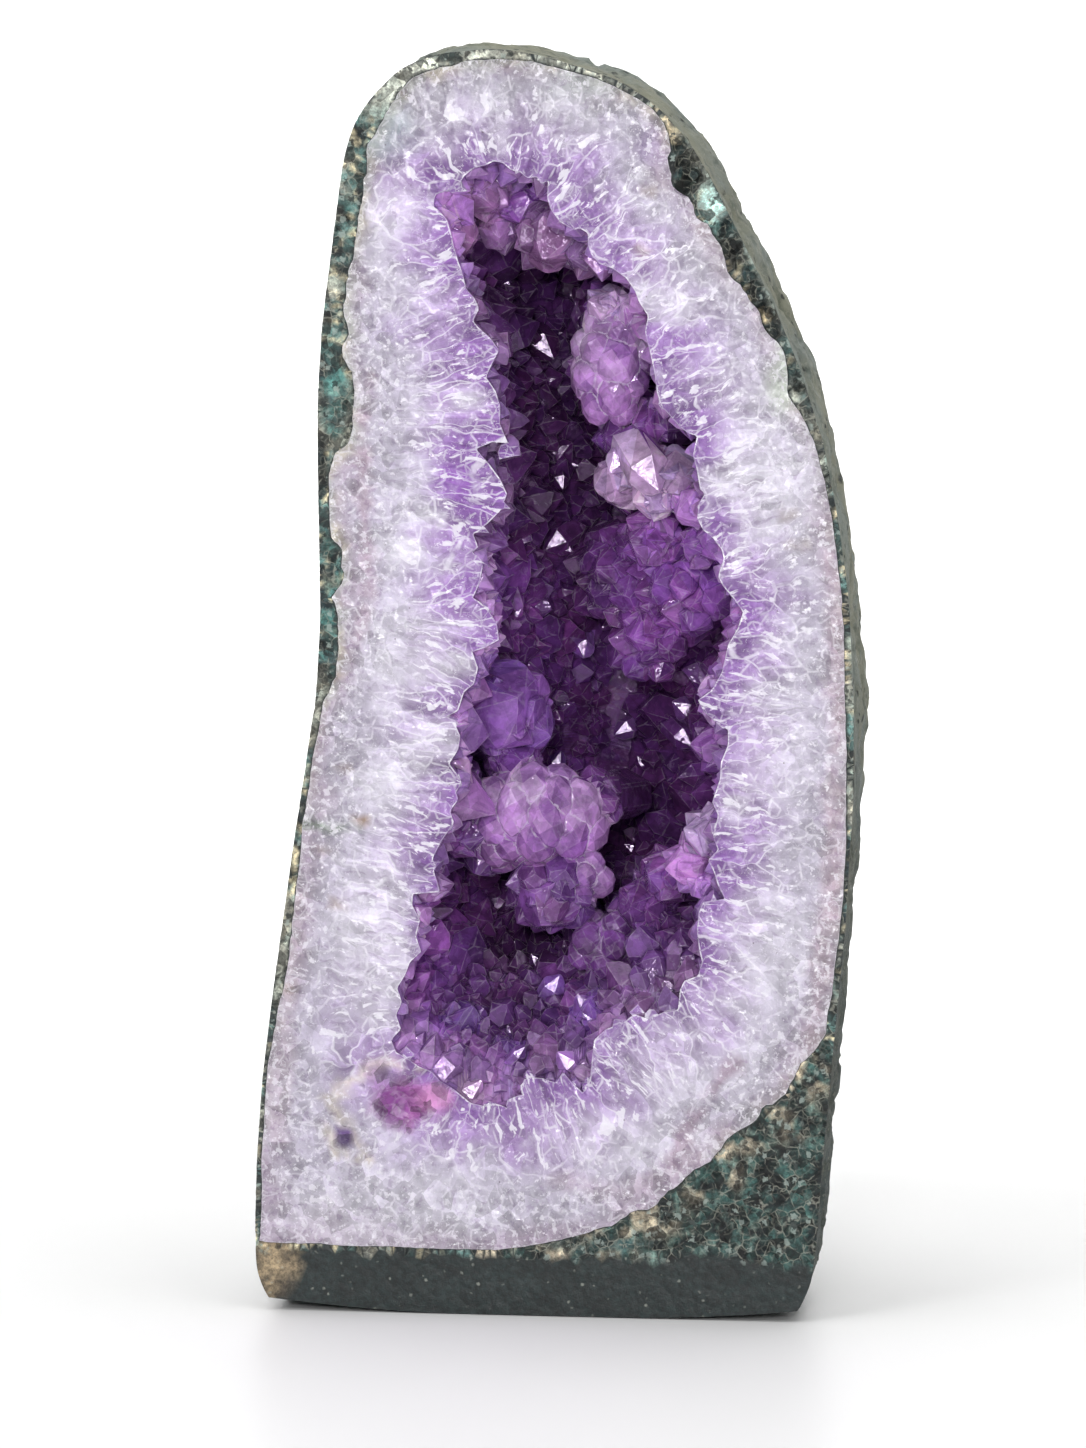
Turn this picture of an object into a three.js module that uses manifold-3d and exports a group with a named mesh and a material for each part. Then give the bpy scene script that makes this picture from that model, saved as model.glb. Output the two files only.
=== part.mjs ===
// Upright amethyst geode section: a rock shell round a quartz and amethyst lining with an open crystal cavity.
// Millimetres, +Z up, sawn front face towards -Y, flat sawn base on z = 0.
import * as THREE from 'three';
import { mergeVertices } from 'three/addons/utils/BufferGeometryUtils.js';
import Module from 'manifold-3d';

const FACE_Y = -56;          // plane of the sawn front face
const DEPTH = 112;           // front face to the back of the stone
const SWELL = 0.014;         // how far the rough outside swells behind the face at the top, as a share of its radius
const DENTS = 0.014;         // depth of the broad dents in the rough outside, as a share of its radius
const GAP = 0.3;             // clearance between rock and lining
const ROCK_BACK = 9;         // rock thickness at the back
const CAVITY_DEPTH = 66;     // front face to the deepest point of the cavity
const CENTRE = [0, 150];     // x, z that the rock and lining outlines are measured from
const CAVITY_CENTRE = [6, 160];
const SHIFT_X = 0.395;       // puts the middle of the whole stone's width on x = 0
const SEED = 7;

// Outline of the sawn face, clockwise from the bottom left; it runs on below the base and is cut there.
const FACE = [[0, -34], [-30, -28], [-52, -16], [-66, -3], [-71.5, 3.4], [-73.9, 9.6], [-74.1, 22], [-73.6, 37], [-72.2, 57],
  [-69.7, 77], [-66.9, 96.5], [-64.1, 116], [-61, 136], [-58.5, 152], [-57.4, 170], [-57.6, 190], [-57.9, 209], [-57.9, 224],
  [-56.7, 243], [-54, 263], [-51.5, 282], [-49, 290.5], [-44.8, 297], [-37.4, 304.3], [-28, 307.8], [-14, 308.9], [-3, 307.3],
  [6.5, 304.4], [16.2, 301], [24.7, 295.5], [33.2, 286.4], [38.6, 277], [46, 262.5], [53.2, 248], [60, 232], [65.6, 214.5],
  [69.3, 196], [72, 176], [73.3, 150], [73.2, 128], [71.6, 99], [68.8, 69], [66.2, 40], [64.8, 20], [63.4, 9], [59.5, 1.5],
  [46, -13], [26, -27]];

// Border between rock and quartz on the sawn face.
const LINING = [[-68.5, 18.4], [-69.8, 37], [-68.6, 57], [-66, 77], [-63.4, 96.5], [-60.8, 116.3], [-57.6, 136], [-55, 151],
  [-53, 165.5], [-52.7, 185], [-52.6, 204.5], [-52.8, 224], [-52, 241], [-49.5, 260], [-46.8, 279.7], [-42.3, 291.3],
  [-35.6, 298.6], [-27, 302.8], [-15.4, 304.2], [-3.2, 302.4], [8.9, 299], [19.6, 293.8], [25.9, 286.4], [31.8, 277.2],
  [38.4, 266.2], [43.9, 256.6], [49.3, 247], [53.6, 237.4], [58, 226.8], [61.2, 217.2], [64.6, 202.9], [67, 188.5],
  [68.6, 174], [69.2, 157], [69.5, 137.7], [69.3, 118.2], [68.2, 103.6], [66.8, 89], [65, 75.5], [61.5, 64.9], [55.7, 53.2],
  [45.9, 44.9], [36.1, 37.4], [23.9, 28.5], [9.1, 22], [-8.2, 18.6], [-28, 16.6], [-52.9, 16.6]];

// Mouth of the cavity on the sawn face, before the crystals.
const MOUTH = [[-14, 287], [-4, 283], [4, 276], [12, 266], [22, 253], [27, 238], [33, 224], [38, 210], [42, 195], [46, 180],
  [48, 165], [46, 150], [45, 135], [45, 118], [45, 102], [40, 86], [32, 74], [19, 66], [8, 53], [-5, 48], [-18, 47], [-31, 53],
  [-42, 63], [-42, 80], [-38, 97], [-34, 112], [-29, 126], [-28, 142], [-24, 157], [-22, 172], [-23, 188], [-20, 205],
  [-21, 220], [-23, 238], [-27, 255], [-31, 271], [-24, 281]];

// Share of the outline's radius against depth behind the face.
const OUTSIDE = [[-0.09, 1], [0, 1], [0.1, 1], [0.24, 1], [0.38, 0.985], [0.52, 0.945], [0.65, 0.87], [0.77, 0.76], [0.87, 0.615],
  [0.945, 0.43], [0.985, 0.22]];
const HOLLOW = [[-0.14, 1], [0, 1], [0.16, 1.05], [0.36, 1.05], [0.56, 0.95], [0.74, 0.76], [0.88, 0.52], [0.97, 0.26]];

// Large crystals inside: x, y, z of the tip, radius, and the way they point.
const LARGE = [
  [13, -48, 222, 9, -0.5, -0.3, -0.75], [7, -46, 244, 6, -0.8, -0.3, 0.2], [17, -50, 248, 6, -0.5, -0.5, 0.4],
  [-7, -38, 258, 9, -0.1, -0.6, -0.8], [-17, -49, 270, 6, 0.6, -0.3, -0.6], [22, -44, 199, 10, -0.8, -0.4, -0.3],
  [8, -28, 180, 9, -0.4, -0.9, 0.1], [24, -31, 184, 9, -0.4, -0.9, 0.2], [17, -26, 168, 8, -0.3, -0.9, -0.2],
  [-6, -40, 143, 12, 0.7, -0.5, -0.4], [2, -44, 121, 15, 0.75, -0.55, -0.1], [6, -42, 105, 9, 0.5, -0.6, -0.6],
  [-3, -34, 94, 9, 0.2, -0.8, -0.6], [10, -36, 90, 9, 0.1, -0.9, 0.1], [32, -49, 119, 7, -0.7, -0.5, 0.3],
  [29, -47, 109, 7, -0.8, -0.4, 0], [32, -50, 100, 6, -0.6, -0.4, -0.5], [-15, -42, 168, 7, 0.9, -0.4, 0],
  [-15, -40, 180, 7, 0.9, -0.3, 0], [-18, -44, 128, 7, 0.9, -0.3, 0], [-18, -40, 114, 7, 0.8, -0.5, 0.1],
  [33, -42, 142, 7, -0.8, -0.5, 0], [30, -42, 163, 7, -0.8, -0.5, -0.1], [-6, -20, 232, 8, 0, -1, 0],
  [-14, -38, 70, 7, 0.2, -0.5, 0.8], [-26, -42, 84, 7, 0.7, -0.3, 0.5]];

// Rows of smaller crystals round the wall: depth, share of the mouth's outline, count.
const ROWS = [[0.07, 1.01, 28], [0.28, 1.05, 23], [0.48, 0.98, 19], [0.66, 0.84, 15], [0.82, 0.62, 11], [0.95, 0.34, 5]];

const wasm = await Module();
wasm.setup();

let state = SEED;
function random() {
  state = (state * 1664525 + 1013904223) % 4294967296;
  return state / 4294967296;
}

function smooth(a, b, v) {
  const t = Math.min(1, Math.max(0, (v - a) / (b - a)));
  return t * t * (3 - 2 * t);
}

function toSolid(geometry) {
  const g = geometry.clone();
  g.deleteAttribute('normal');
  g.deleteAttribute('uv');
  const m = mergeVertices(g, 1e-4);
  const pos = m.attributes.position.array, idx = m.index.array, tri = [];
  let volume = 0;
  for (let i = 0; i < idx.length; i += 3) {
    const [a, b, c] = [idx[i], idx[i + 1], idx[i + 2]];
    if (a === b || b === c || c === a) continue;
    tri.push(a, b, c);
    const [p, q, r] = [a, b, c].map((j) => new THREE.Vector3(pos[3 * j], pos[3 * j + 1], pos[3 * j + 2]));
    volume += p.dot(q.cross(r));
  }
  if (volume < 0) for (let i = 0; i < tri.length; i += 3) [tri[i], tri[i + 1]] = [tri[i + 1], tri[i]];
  return new wasm.Manifold(new wasm.Mesh({ numProp: 3, vertProperties: new Float32Array(pos), triVerts: new Uint32Array(tri) }));
}

function toGeometry(solid) {
  const mesh = solid.getMesh();
  const g = new THREE.BufferGeometry();
  g.setAttribute('position', new THREE.BufferAttribute(new Float32Array(mesh.vertProperties), 3));
  g.setIndex(new THREE.BufferAttribute(new Uint32Array(mesh.triVerts), 1));
  const flat = g.toNonIndexed();
  flat.computeVertexNormals();
  return flat;
}

// A round form with its axis along Y, one column of vertices for each point of the outline.
// rings is [[y, share of the outline], ...] and the form ends on the axis at y = tail.
function formed(outline, centre, rings, tail, change = () => 1) {
  const n = outline.length;
  const profile = [new THREE.Vector2(0, rings[0][0]), ...rings.map((r) => new THREE.Vector2(r[1], r[0])), new THREE.Vector2(0, tail)];
  const g = new THREE.LatheGeometry(profile, n);
  const p = g.attributes.position;
  for (let i = 0; i < p.count; i++) {
    const sx = p.getX(i), sz = p.getZ(i), y = p.getY(i);
    const column = Math.round((Math.atan2(sx, sz) / (2 * Math.PI)) * n + n) % n;
    const dx = outline[column][0] - centre[0], dz = outline[column][1] - centre[1];
    const share = Math.hypot(sx, sz) * change(Math.atan2(dx, dz), y);
    p.setXYZ(i, centre[0] + share * dx, y, centre[1] + share * dz);
  }
  return toSolid(g);
}

function crystal(tip, direction, r, length, turn) {
  const g = new THREE.LatheGeometry([new THREE.Vector2(0, -length), new THREE.Vector2(r * 0.92, -length),
    new THREE.Vector2(r, -r * 1.05), new THREE.Vector2(0, 0)], 6);
  g.rotateY(turn);
  const q = new THREE.Quaternion().setFromUnitVectors(new THREE.Vector3(0, 1, 0), direction.clone().normalize());
  g.applyQuaternion(q);
  g.translate(...tip);
  return toSolid(g);
}

function box(lo, hi) {
  const g = new THREE.BoxGeometry(hi[0] - lo[0], hi[1] - lo[1], hi[2] - lo[2]);
  g.translate((lo[0] + hi[0]) / 2, (lo[1] + hi[1]) / 2, (lo[2] + hi[2]) / 2);
  return toSolid(g);
}

// The rough outside swells a little behind the face at the top, and has broad shallow dents.
function roughness(a, y) {
  const d = (y - FACE_Y) / DEPTH;
  const swell = SWELL * smooth(0.35, 0.9, Math.cos(a)) * smooth(0, 0.16, d) * (1 - smooth(0.35, 0.9, d));
  const waves = Math.sin(3 * a + 7 * d) + Math.sin(5 * a - 4 * d + 1.3) * 0.7 + Math.sin(8 * a + 9 * d) * 0.35;
  return 1 + swell + DENTS * (waves - 1) * smooth(0.12, 0.6, d);
}

const ring = (list, depth) => list.map(([d, s]) => [FACE_Y + d * depth, s]);
const room = box([-200, FACE_Y, 0], [200, 200, 400]);

const outside = formed(FACE, CENTRE, ring(OUTSIDE, DEPTH), FACE_Y + DEPTH, roughness).intersect(room);

const seat = formed(LINING, CENTRE, ring(OUTSIDE, DEPTH - ROCK_BACK), FACE_Y + DEPTH - ROCK_BACK);
const inset = (outline, by) => outline.map(([x, z], i) => {
  const p = outline[(i + outline.length - 1) % outline.length], q = outline[(i + 1) % outline.length];
  const tx = q[0] - p[0], tz = q[1] - p[1], len = Math.hypot(tx, tz);
  return [x + (tz / len) * by, z - (tx / len) * by];
});
const back = DEPTH - ROCK_BACK - GAP * 1.4;
const filling = formed(inset(LINING, GAP * 1.15), CENTRE, ring(OUTSIDE, back), FACE_Y + back);
const keep = formed(inset(LINING, 3), CENTRE, ring(OUTSIDE, back - 3), FACE_Y + back - 3);
const hollow = formed(MOUTH, CAVITY_CENTRE, ring(HOLLOW, CAVITY_DEPTH), FACE_Y + CAVITY_DEPTH);

// Length of a crystal from its tip back to the cavity wall, plus a root in the wall.
function reach(tip, axis, root) {
  for (let d = 2; d < 90; d += 1.5) {
    const q = new THREE.Vector3(...tip).addScaledVector(axis, -d);
    const probe = box([q.x - 0.5, q.y - 0.5, q.z - 0.5], [q.x + 0.5, q.y + 0.5, q.z + 0.5]);
    if (probe.subtract(hollow).volume() > 0.5) return d + root;
  }
  return 20;
}

// Crystals stand on the cavity wall and point into it.
const crystals = [];
for (const [x, y, z, r, ax, ay, az] of LARGE) {
  const axis = new THREE.Vector3(ax, ay, az).normalize();
  crystals.push(crystal([x, y, z], axis, r, reach([x, y, z], axis, r), random()));
  for (const s of r >= 7 ? [-1, 1] : []) {
    const tip = [x + s * r * 0.8, y + 3, z - s * r * 0.5];
    const lean = axis.clone().add(new THREE.Vector3(s * 0.3, -0.2, -s * 0.2)).normalize();
    crystals.push(crystal(tip, lean, r * 0.66, reach(tip, lean, r), random()));
  }
}
const around = [];
MOUTH.forEach((p, i) => {
  const q = MOUTH[(i + 1) % MOUTH.length], len = Math.hypot(q[0] - p[0], q[1] - p[1]);
  for (let d = 0; d < len; d += 1) around.push([p[0] + ((q[0] - p[0]) * d) / len, p[1] + ((q[1] - p[1]) * d) / len, (q[1] - p[1]) / len, -(q[0] - p[0]) / len]);
});
ROWS.forEach(([d, share, n], row) => {
  for (let i = 0; i < n; i++) {
    const at = around[Math.floor(((i + 0.5 * (row % 2) + 0.3 * random()) / n) * around.length) % around.length];
    const r = 6.2 + 3.8 * random(), rise = 5 + 4 * random();
    const wall = new THREE.Vector3(CAVITY_CENTRE[0] + (at[0] - CAVITY_CENTRE[0]) * share, FACE_Y + d * CAVITY_DEPTH, CAVITY_CENTRE[1] + (at[1] - CAVITY_CENTRE[1]) * share);
    const aim = new THREE.Vector3(at[2], -Math.max(0, d - 0.3) * 2.4, at[3]);
    aim.add(new THREE.Vector3((random() - 0.5) * 0.7, (random() - 0.5) * 0.7, (random() - 0.5) * 0.7)).normalize();
    crystals.push(crystal(wall.clone().addScaledVector(aim, rise).toArray(), aim, r, rise + r * 2, random()));
  }
});

const shell = outside.subtract(seat);
const grown = wasm.Manifold.union(crystals).intersect(keep);
const lining = filling.subtract(hollow).add(grown).intersect(room);
// Only the one grown-together body is kept.
const largest = (solid) => solid.decompose().sort((a, b) => b.volume() - a.volume())[0];
const body = largest(toSolid(toGeometry(largest(lining).simplify(0.1))));

const part = new THREE.Group();
function piece(name, solid, colour, rough) {
  const mesh = new THREE.Mesh(toGeometry(solid), new THREE.MeshStandardMaterial({ color: colour, roughness: rough, metalness: 0 }));
  mesh.name = name;
  mesh.position.x = SHIFT_X;
  part.add(mesh);
}
piece('host_rock', shell, 0x39484a, 0.7);
piece('crystal_lining', body, 0xb7a3cf, 0.2);

export default part;
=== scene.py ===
import math
import bpy, bmesh
import numpy as np
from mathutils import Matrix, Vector, geometry, kdtree


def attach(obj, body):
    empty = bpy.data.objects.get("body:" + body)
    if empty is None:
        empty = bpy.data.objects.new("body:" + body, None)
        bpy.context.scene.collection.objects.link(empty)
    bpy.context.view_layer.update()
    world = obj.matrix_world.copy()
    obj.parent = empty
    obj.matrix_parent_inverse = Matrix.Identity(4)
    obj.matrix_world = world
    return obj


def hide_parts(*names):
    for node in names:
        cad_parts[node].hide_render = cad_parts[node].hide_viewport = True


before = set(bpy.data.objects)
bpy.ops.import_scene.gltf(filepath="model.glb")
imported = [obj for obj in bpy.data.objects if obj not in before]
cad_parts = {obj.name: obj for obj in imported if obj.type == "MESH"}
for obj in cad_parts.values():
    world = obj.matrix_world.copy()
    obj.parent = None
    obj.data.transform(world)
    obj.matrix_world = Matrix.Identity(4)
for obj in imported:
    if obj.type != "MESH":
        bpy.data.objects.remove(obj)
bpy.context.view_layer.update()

rng = np.random.default_rng(23)

# ------------------------------------------------------------------ the camera's frame
W, H = 1086, 1448
AZ, EL, DIST, MM = math.radians(8.0), math.radians(5.0), 1600.0, 0.2431
SHIFT_X = 0.395                     # the stone's own x to the shared frame's x
FACE_Y = -56.0
TARGET = np.array([-2.51, FACE_Y, 145.51])
BACK = np.array([math.sin(AZ) * math.cos(EL), -math.cos(AZ) * math.cos(EL), math.sin(EL)])
CAM = TARGET + BACK * DIST
RIGHT = np.cross(-BACK, [0, 0, 1.0]); RIGHT /= np.linalg.norm(RIGHT)
UP = np.cross(RIGHT, -BACK)


def at(px, py, depth=0.0):
    """Point of the stone, in mm, that lies `depth` mm behind the sawn face and shows at px, py."""
    d = -BACK * DIST + RIGHT * (px - W / 2) * MM - UP * (py - H / 2) * MM
    t = (FACE_Y + depth - CAM[1]) / d[1]
    return CAM + d * t


def at_many(pts, depth=0.0):
    return np.array([[at(p[0], p[1], depth)[0], at(p[0], p[1], depth)[2]] for p in pts])


# ------------------------------------------------------------------ outlines, mm, x and z on the sawn face, clockwise
FACE = np.array([[0, -34], [-30, -28], [-52, -16], [-66, -3], [-71.5, 3.4], [-73.9, 9.6], [-74.1, 22], [-73.6, 37], [-72.2, 57],
  [-69.7, 77], [-66.9, 96.5], [-64.1, 116], [-61, 136], [-58.5, 152], [-57.4, 170], [-57.6, 190], [-57.9, 209], [-57.9, 224],
  [-56.7, 243], [-54, 263], [-51.5, 282], [-49, 290.5], [-44.8, 297], [-37.4, 304.3], [-28, 307.8], [-14, 308.9], [-3, 307.3],
  [6.5, 304.4], [16.2, 301], [24.7, 295.5], [33.2, 286.4], [38.6, 277], [46, 262.5], [53.2, 248], [60, 232], [65.6, 214.5],
  [69.3, 196], [72, 176], [73.3, 150], [73.2, 128], [71.6, 99], [68.8, 69], [66.2, 40], [64.8, 20], [63.4, 9], [59.5, 1.5],
  [46, -13], [26, -27]], float)
# Border between the pale quartz and the rock, as places in the photograph's frame.
LINING_PX = [(259, 1241), (261, 1200), (261, 1160), (264, 1120), (266, 1080), (268, 1060), (272, 1040), (280, 1000), (288, 960), (290, 940),
  (294, 900), (300, 850), (303, 820), (307, 800), (312, 760), (319, 720), (322, 702), (331, 685), (338, 660), (338, 632),
  (336, 607), (331, 597), (340, 586), (343, 565), (342, 549), (331, 538), (328, 505), (328, 470), (335, 452), (349, 441),
  (352, 420), (352, 395), (350, 372), (342, 350), (346, 325), (346, 300), (349, 272), (353, 250), (356, 230), (360, 200),
  (363, 180), (366, 160), (372, 140), (379, 124), (388, 108), (397, 93), (408, 81), (421, 73), (440, 67), (470, 61),
  (500, 59), (530, 61), (560, 67), (590, 76), (615, 86), (638, 98), (654, 110), (664, 122), (668, 136), (669, 150),
  (668, 166), (673, 184), (685, 194), (693, 206), (698, 221), (710, 228), (718, 240), (724, 256), (730, 272), (741, 290),
  (752, 301), (760, 309), (763, 325), (770, 335), (779, 342), (785, 353), (788, 370), (787, 388), (793, 404), (803, 419),
  (813, 440), (820, 461), (827, 490), (833, 520), (838, 560), (842, 600), (845, 650), (846, 700), (847, 760), (847, 800),
  (846, 850), (843, 900), (839, 940), (834, 980), (829, 1012), (826, 1034), (817, 1050), (803, 1060), (795, 1080), (783, 1097),
  (765, 1108), (750, 1120), (730, 1138), (708, 1160), (685, 1182), (660, 1203), (640, 1213), (615, 1222), (590, 1232), (560, 1240),
  (530, 1246), (500, 1250), (470, 1250), (430, 1249), (380, 1247), (340, 1246), (305, 1244), (285, 1243), (270, 1243)]
LINING = at_many(LINING_PX)
# Edge of the polished face round the cavity, as places in the photograph's frame.
MOUTH_PX = [(503, 163), (511, 170), (520, 172), (527, 178), (537, 177), (541, 184), (548, 181), (547, 198), (551, 210),
  (560, 222), (572, 229), (581, 229), (588, 233), (588, 246), (592, 256), (600, 264), (612, 268), (626, 278), (635, 291),
  (639, 302), (648, 316), (645, 332), (650, 352), (655, 375), (657, 393), (663, 408), (672, 418), (680, 427), (688, 433),
  (697, 436), (693, 455), (697, 470), (700, 489), (705, 494), (699, 503), (697, 518), (703, 530), (713, 538), (722, 550),
  (724, 561), (718, 576), (723, 586), (733, 598), (743, 612), (738, 628), (728, 645), (722, 672), (712, 690), (698, 700),
  (704, 712), (716, 722), (728, 730), (728, 745), (721, 762), (720, 779), (715, 794), (712, 802), (718, 815), (713, 836),
  (718, 850), (708, 860), (714, 872), (718, 885), (725, 899), (703, 902), (699, 912), (697, 930), (699, 948), (702, 962),
  (698, 976), (684, 981), (680, 990), (678, 1010), (664, 1012), (648, 1019), (634, 1014), (622, 1024), (606, 1029), (594, 1040),
  (592, 1060), (590, 1080), (583, 1093), (573, 1084), (563, 1072), (556, 1083), (542, 1078), (528, 1077), (520, 1086),
  (524, 1098), (510, 1109), (497, 1104), (484, 1106), (470, 1103), (462, 1096), (452, 1088), (440, 1081), (432, 1072),
  (418, 1066), (408, 1059), (396, 1052), (391, 1040), (401, 1029), (396, 1015), (402, 1002), (397, 988), (405, 975), (410, 962),
  (421, 952), (416, 936), (420, 920), (412, 905), (413, 894), (440, 892), (434, 872), (433, 857), (442, 840), (454, 823),
  (450, 811), (458, 800), (456, 792), (462, 783), (455, 771), (449, 764), (458, 750), (460, 737), (455, 724), (444, 718),
  (458, 711), (464, 692), (474, 684), (478, 668), (472, 652), (484, 648), (499, 640), (497, 625), (489, 611), (480, 602),
  (473, 598), (480, 582), (483, 564), (472, 552), (478, 547), (473, 534), (487, 524), (500, 511), (507, 494), (500, 479),
  (489, 464), (476, 449), (492, 442), (508, 443), (500, 424), (500, 406), (496, 392), (486, 377), (491, 366), (499, 350),
  (491, 339), (477, 326), (473, 321), (479, 309), (475, 299), (466, 289), (463, 275), (458, 261), (454, 248), (451, 234),
  (447, 220), (440, 212), (433, 206), (435, 195), (447, 190), (458, 186), (464, 176), (474, 168), (486, 165), (494, 161)]
MOUTH_CUT = at_many(MOUTH_PX)


def resample(poly, n=None, step=None, closed=True):
    p = np.vstack([poly, poly[:1]]) if closed else np.asarray(poly, float)
    seg = np.linalg.norm(np.diff(p, axis=0), axis=1)
    s = np.concatenate([[0], np.cumsum(seg)])
    if n is None:
        n = int(s[-1] / step)
    u = np.linspace(0, s[-1], n, endpoint=not closed)
    return np.stack([np.interp(u, s, p[:, k]) for k in range(p.shape[1])], axis=1)


def smooth_loop(p, sigma):
    """Gaussian smoothing of a closed loop; sigma in points."""
    n = len(p)
    k = np.fft.fftfreq(n) * 2 * np.pi
    g = np.exp(-0.5 * (k * sigma) ** 2)[:, None]
    return np.real(np.fft.ifft(np.fft.fft(p, axis=0) * g, axis=0))


def out_normals(p):
    """Outward unit normals of a clockwise loop."""
    t = np.roll(p, -1, 0) - np.roll(p, 1, 0)
    t /= np.linalg.norm(t, axis=1)[:, None] + 1e-9
    return np.stack([-t[:, 1], t[:, 0]], axis=1)


def inside(poly, q):
    x, z = q[:, 0], q[:, 1]
    r = np.zeros(len(q), bool)
    a, b = poly, np.roll(poly, -1, 0)
    for (x0, z0), (x1, z1) in zip(a, b):
        if z0 == z1:
            continue
        c = ((z0 > z) != (z1 > z)) & (x < (x1 - x0) * (z - z0) / (z1 - z0) + x0)
        r ^= c
    return r


def nearest(loop, q, chunk=4000):
    """Distance from each q to the loop's points, and the index of the nearest."""
    d, i = np.empty(len(q)), np.empty(len(q), int)
    for k in range(0, len(q), chunk):
        m = ((q[k:k + chunk, None, :] - loop[None]) ** 2).sum(2)
        i[k:k + chunk] = m.argmin(1)
        d[k:k + chunk] = np.sqrt(m.min(1))
    return d, i


def step_(a, b, v):
    t = np.clip((v - a) / (b - a), 0, 1)
    return t * t * (3 - 2 * t)


# ------------------------------------------------------------------ noise
def _hash(i, seed):
    h = (i[..., 0] * 374761393 + i[..., 1] * 668265263 + i[..., 2] * 1274126177 + seed * 974634777) & 0xFFFFFFFF
    h = ((h ^ (h >> 13)) * 1103515245) & 0xFFFFFFFF
    h = ((h ^ (h >> 16)) * 2246822519) & 0xFFFFFFFF
    return ((h ^ (h >> 15)) & 0xFFFFFF) / float(0xFFFFFF) * 2 - 1


def noise(p, size, seed=0, octaves=1, gain=0.5):
    p = np.asarray(p, float) / size
    out, amp, tot = np.zeros(len(p)), 1.0, 0.0
    for o in range(octaves):
        i = np.floor(p).astype(np.int64)
        f = p - i
        u = f * f * (3 - 2 * f)
        v = np.zeros(len(p))
        for dx in (0, 1):
            for dy in (0, 1):
                for dz in (0, 1):
                    w = (u[:, 0] if dx else 1 - u[:, 0]) * (u[:, 1] if dy else 1 - u[:, 1]) * (u[:, 2] if dz else 1 - u[:, 2])
                    v += w * _hash(i + np.array([dx, dy, dz]), seed + 17 * o)
        out += v * amp
        tot += amp
        amp *= gain
        p = p * 2.03 + 11.3
    return out / tot


def flat3(q):
    return np.stack([q[:, 0], np.zeros(len(q)), q[:, 1]], axis=1)


# ------------------------------------------------------------------ mesh helpers
def make_mesh(name, verts, faces):
    me = bpy.data.meshes.new(name)
    v = np.asarray(verts, float).copy()
    v[:, 0] += SHIFT_X
    me.from_pydata((v * 0.001).tolist(), [], faces)
    me.update()
    o = bpy.data.objects.new(name, me)
    bpy.context.scene.collection.objects.link(o)
    return o


def boolean(target, operation, others):
    """Boolean of the target with one object or with a list of them; the others are removed."""
    others = others if isinstance(others, list) else [others]
    m = target.modifiers.new("cut", "BOOLEAN")
    m.operation = operation
    m.solver = "MANIFOLD"
    if len(others) == 1:
        m.object = others[0]
    else:
        c = bpy.data.collections.new("operands")
        for o in others:
            c.objects.link(o)
        m.operand_type = "COLLECTION"
        m.collection = c
    dg = bpy.context.evaluated_depsgraph_get()
    dg.update()
    me = bpy.data.meshes.new_from_object(target.evaluated_get(dg), depsgraph=dg)
    target.modifiers.clear()
    old = target.data
    target.data = me
    bpy.data.meshes.remove(old)
    for o in others:
        me_o = o.data
        bpy.data.objects.remove(o)
        bpy.data.meshes.remove(me_o)
    return target


def ring_form(name, loops, depths, cap_front=True):
    """Closed form from equal-length loops (x, z) at the given y, capped at both ends."""
    n = len(loops[0])
    v = np.vstack([np.stack([l[:, 0], np.full(n, y) if np.isscalar(y) else y, l[:, 1]], axis=1) for l, y in zip(loops, depths)])
    f = []
    for k in range(len(loops) - 1):
        a, b = k * n, (k + 1) * n
        for i in range(n):
            j = (i + 1) % n
            f.append((a + i, b + i, b + j, a + j))
    f.append(tuple(range(n)))
    f.append(tuple(range((len(loops) - 1) * n + n - 1, (len(loops) - 1) * n - 1, -1)))
    return make_mesh(name, v, f)


def fix_normals(o):
    bm = bmesh.new()
    bm.from_mesh(o.data)
    if bm.calc_volume(signed=True) < 0:
        bmesh.ops.reverse_faces(bm, faces=bm.faces[:])
        bm.to_mesh(o.data)
    bm.free()
    return o


def get_verts(me):
    a = np.empty(len(me.vertices) * 3)
    me.vertices.foreach_get("co", a)
    a = a.reshape(-1, 3) * 1000
    a[:, 0] -= SHIFT_X
    return a


# ------------------------------------------------------------------ loops used all through
mouth = resample(MOUTH_CUT, step=0.8)
mouth_soft = smooth_loop(mouth, 12)
mouth_n = out_normals(smooth_loop(mouth, 26))
lining_loop = resample(LINING, step=1.4)
_ln = out_normals(smooth_loop(lining_loop, 4))
_q = flat3(lining_loop)
face_loop = resample(smooth_loop(resample(FACE, step=1.4), 1.6), step=1.35)
_df, _ = nearest(face_loop, lining_loop)
_amp = np.where(lining_loop[:, 1] < 22, 0.3, np.clip(_df / 6.0, 0.12, 1.0))
lining_rough = lining_loop + _ln * ((1.0 * noise(_q, 5.0, 3, 2) + 0.5 * noise(_q, 1.8, 4)) * _amp)[:, None]
MOUTH_LEN = len(mouth) * 0.8

BASE_TOP_PX = [(240, 1246), (300, 1248), (380, 1250), (480, 1253), (560, 1257), (600, 1256), (650, 1258), (700, 1252), (730, 1256), (765, 1264), (800, 1266), (840, 1270)]
BASE_TOP = at_many(BASE_TOP_PX)


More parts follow.
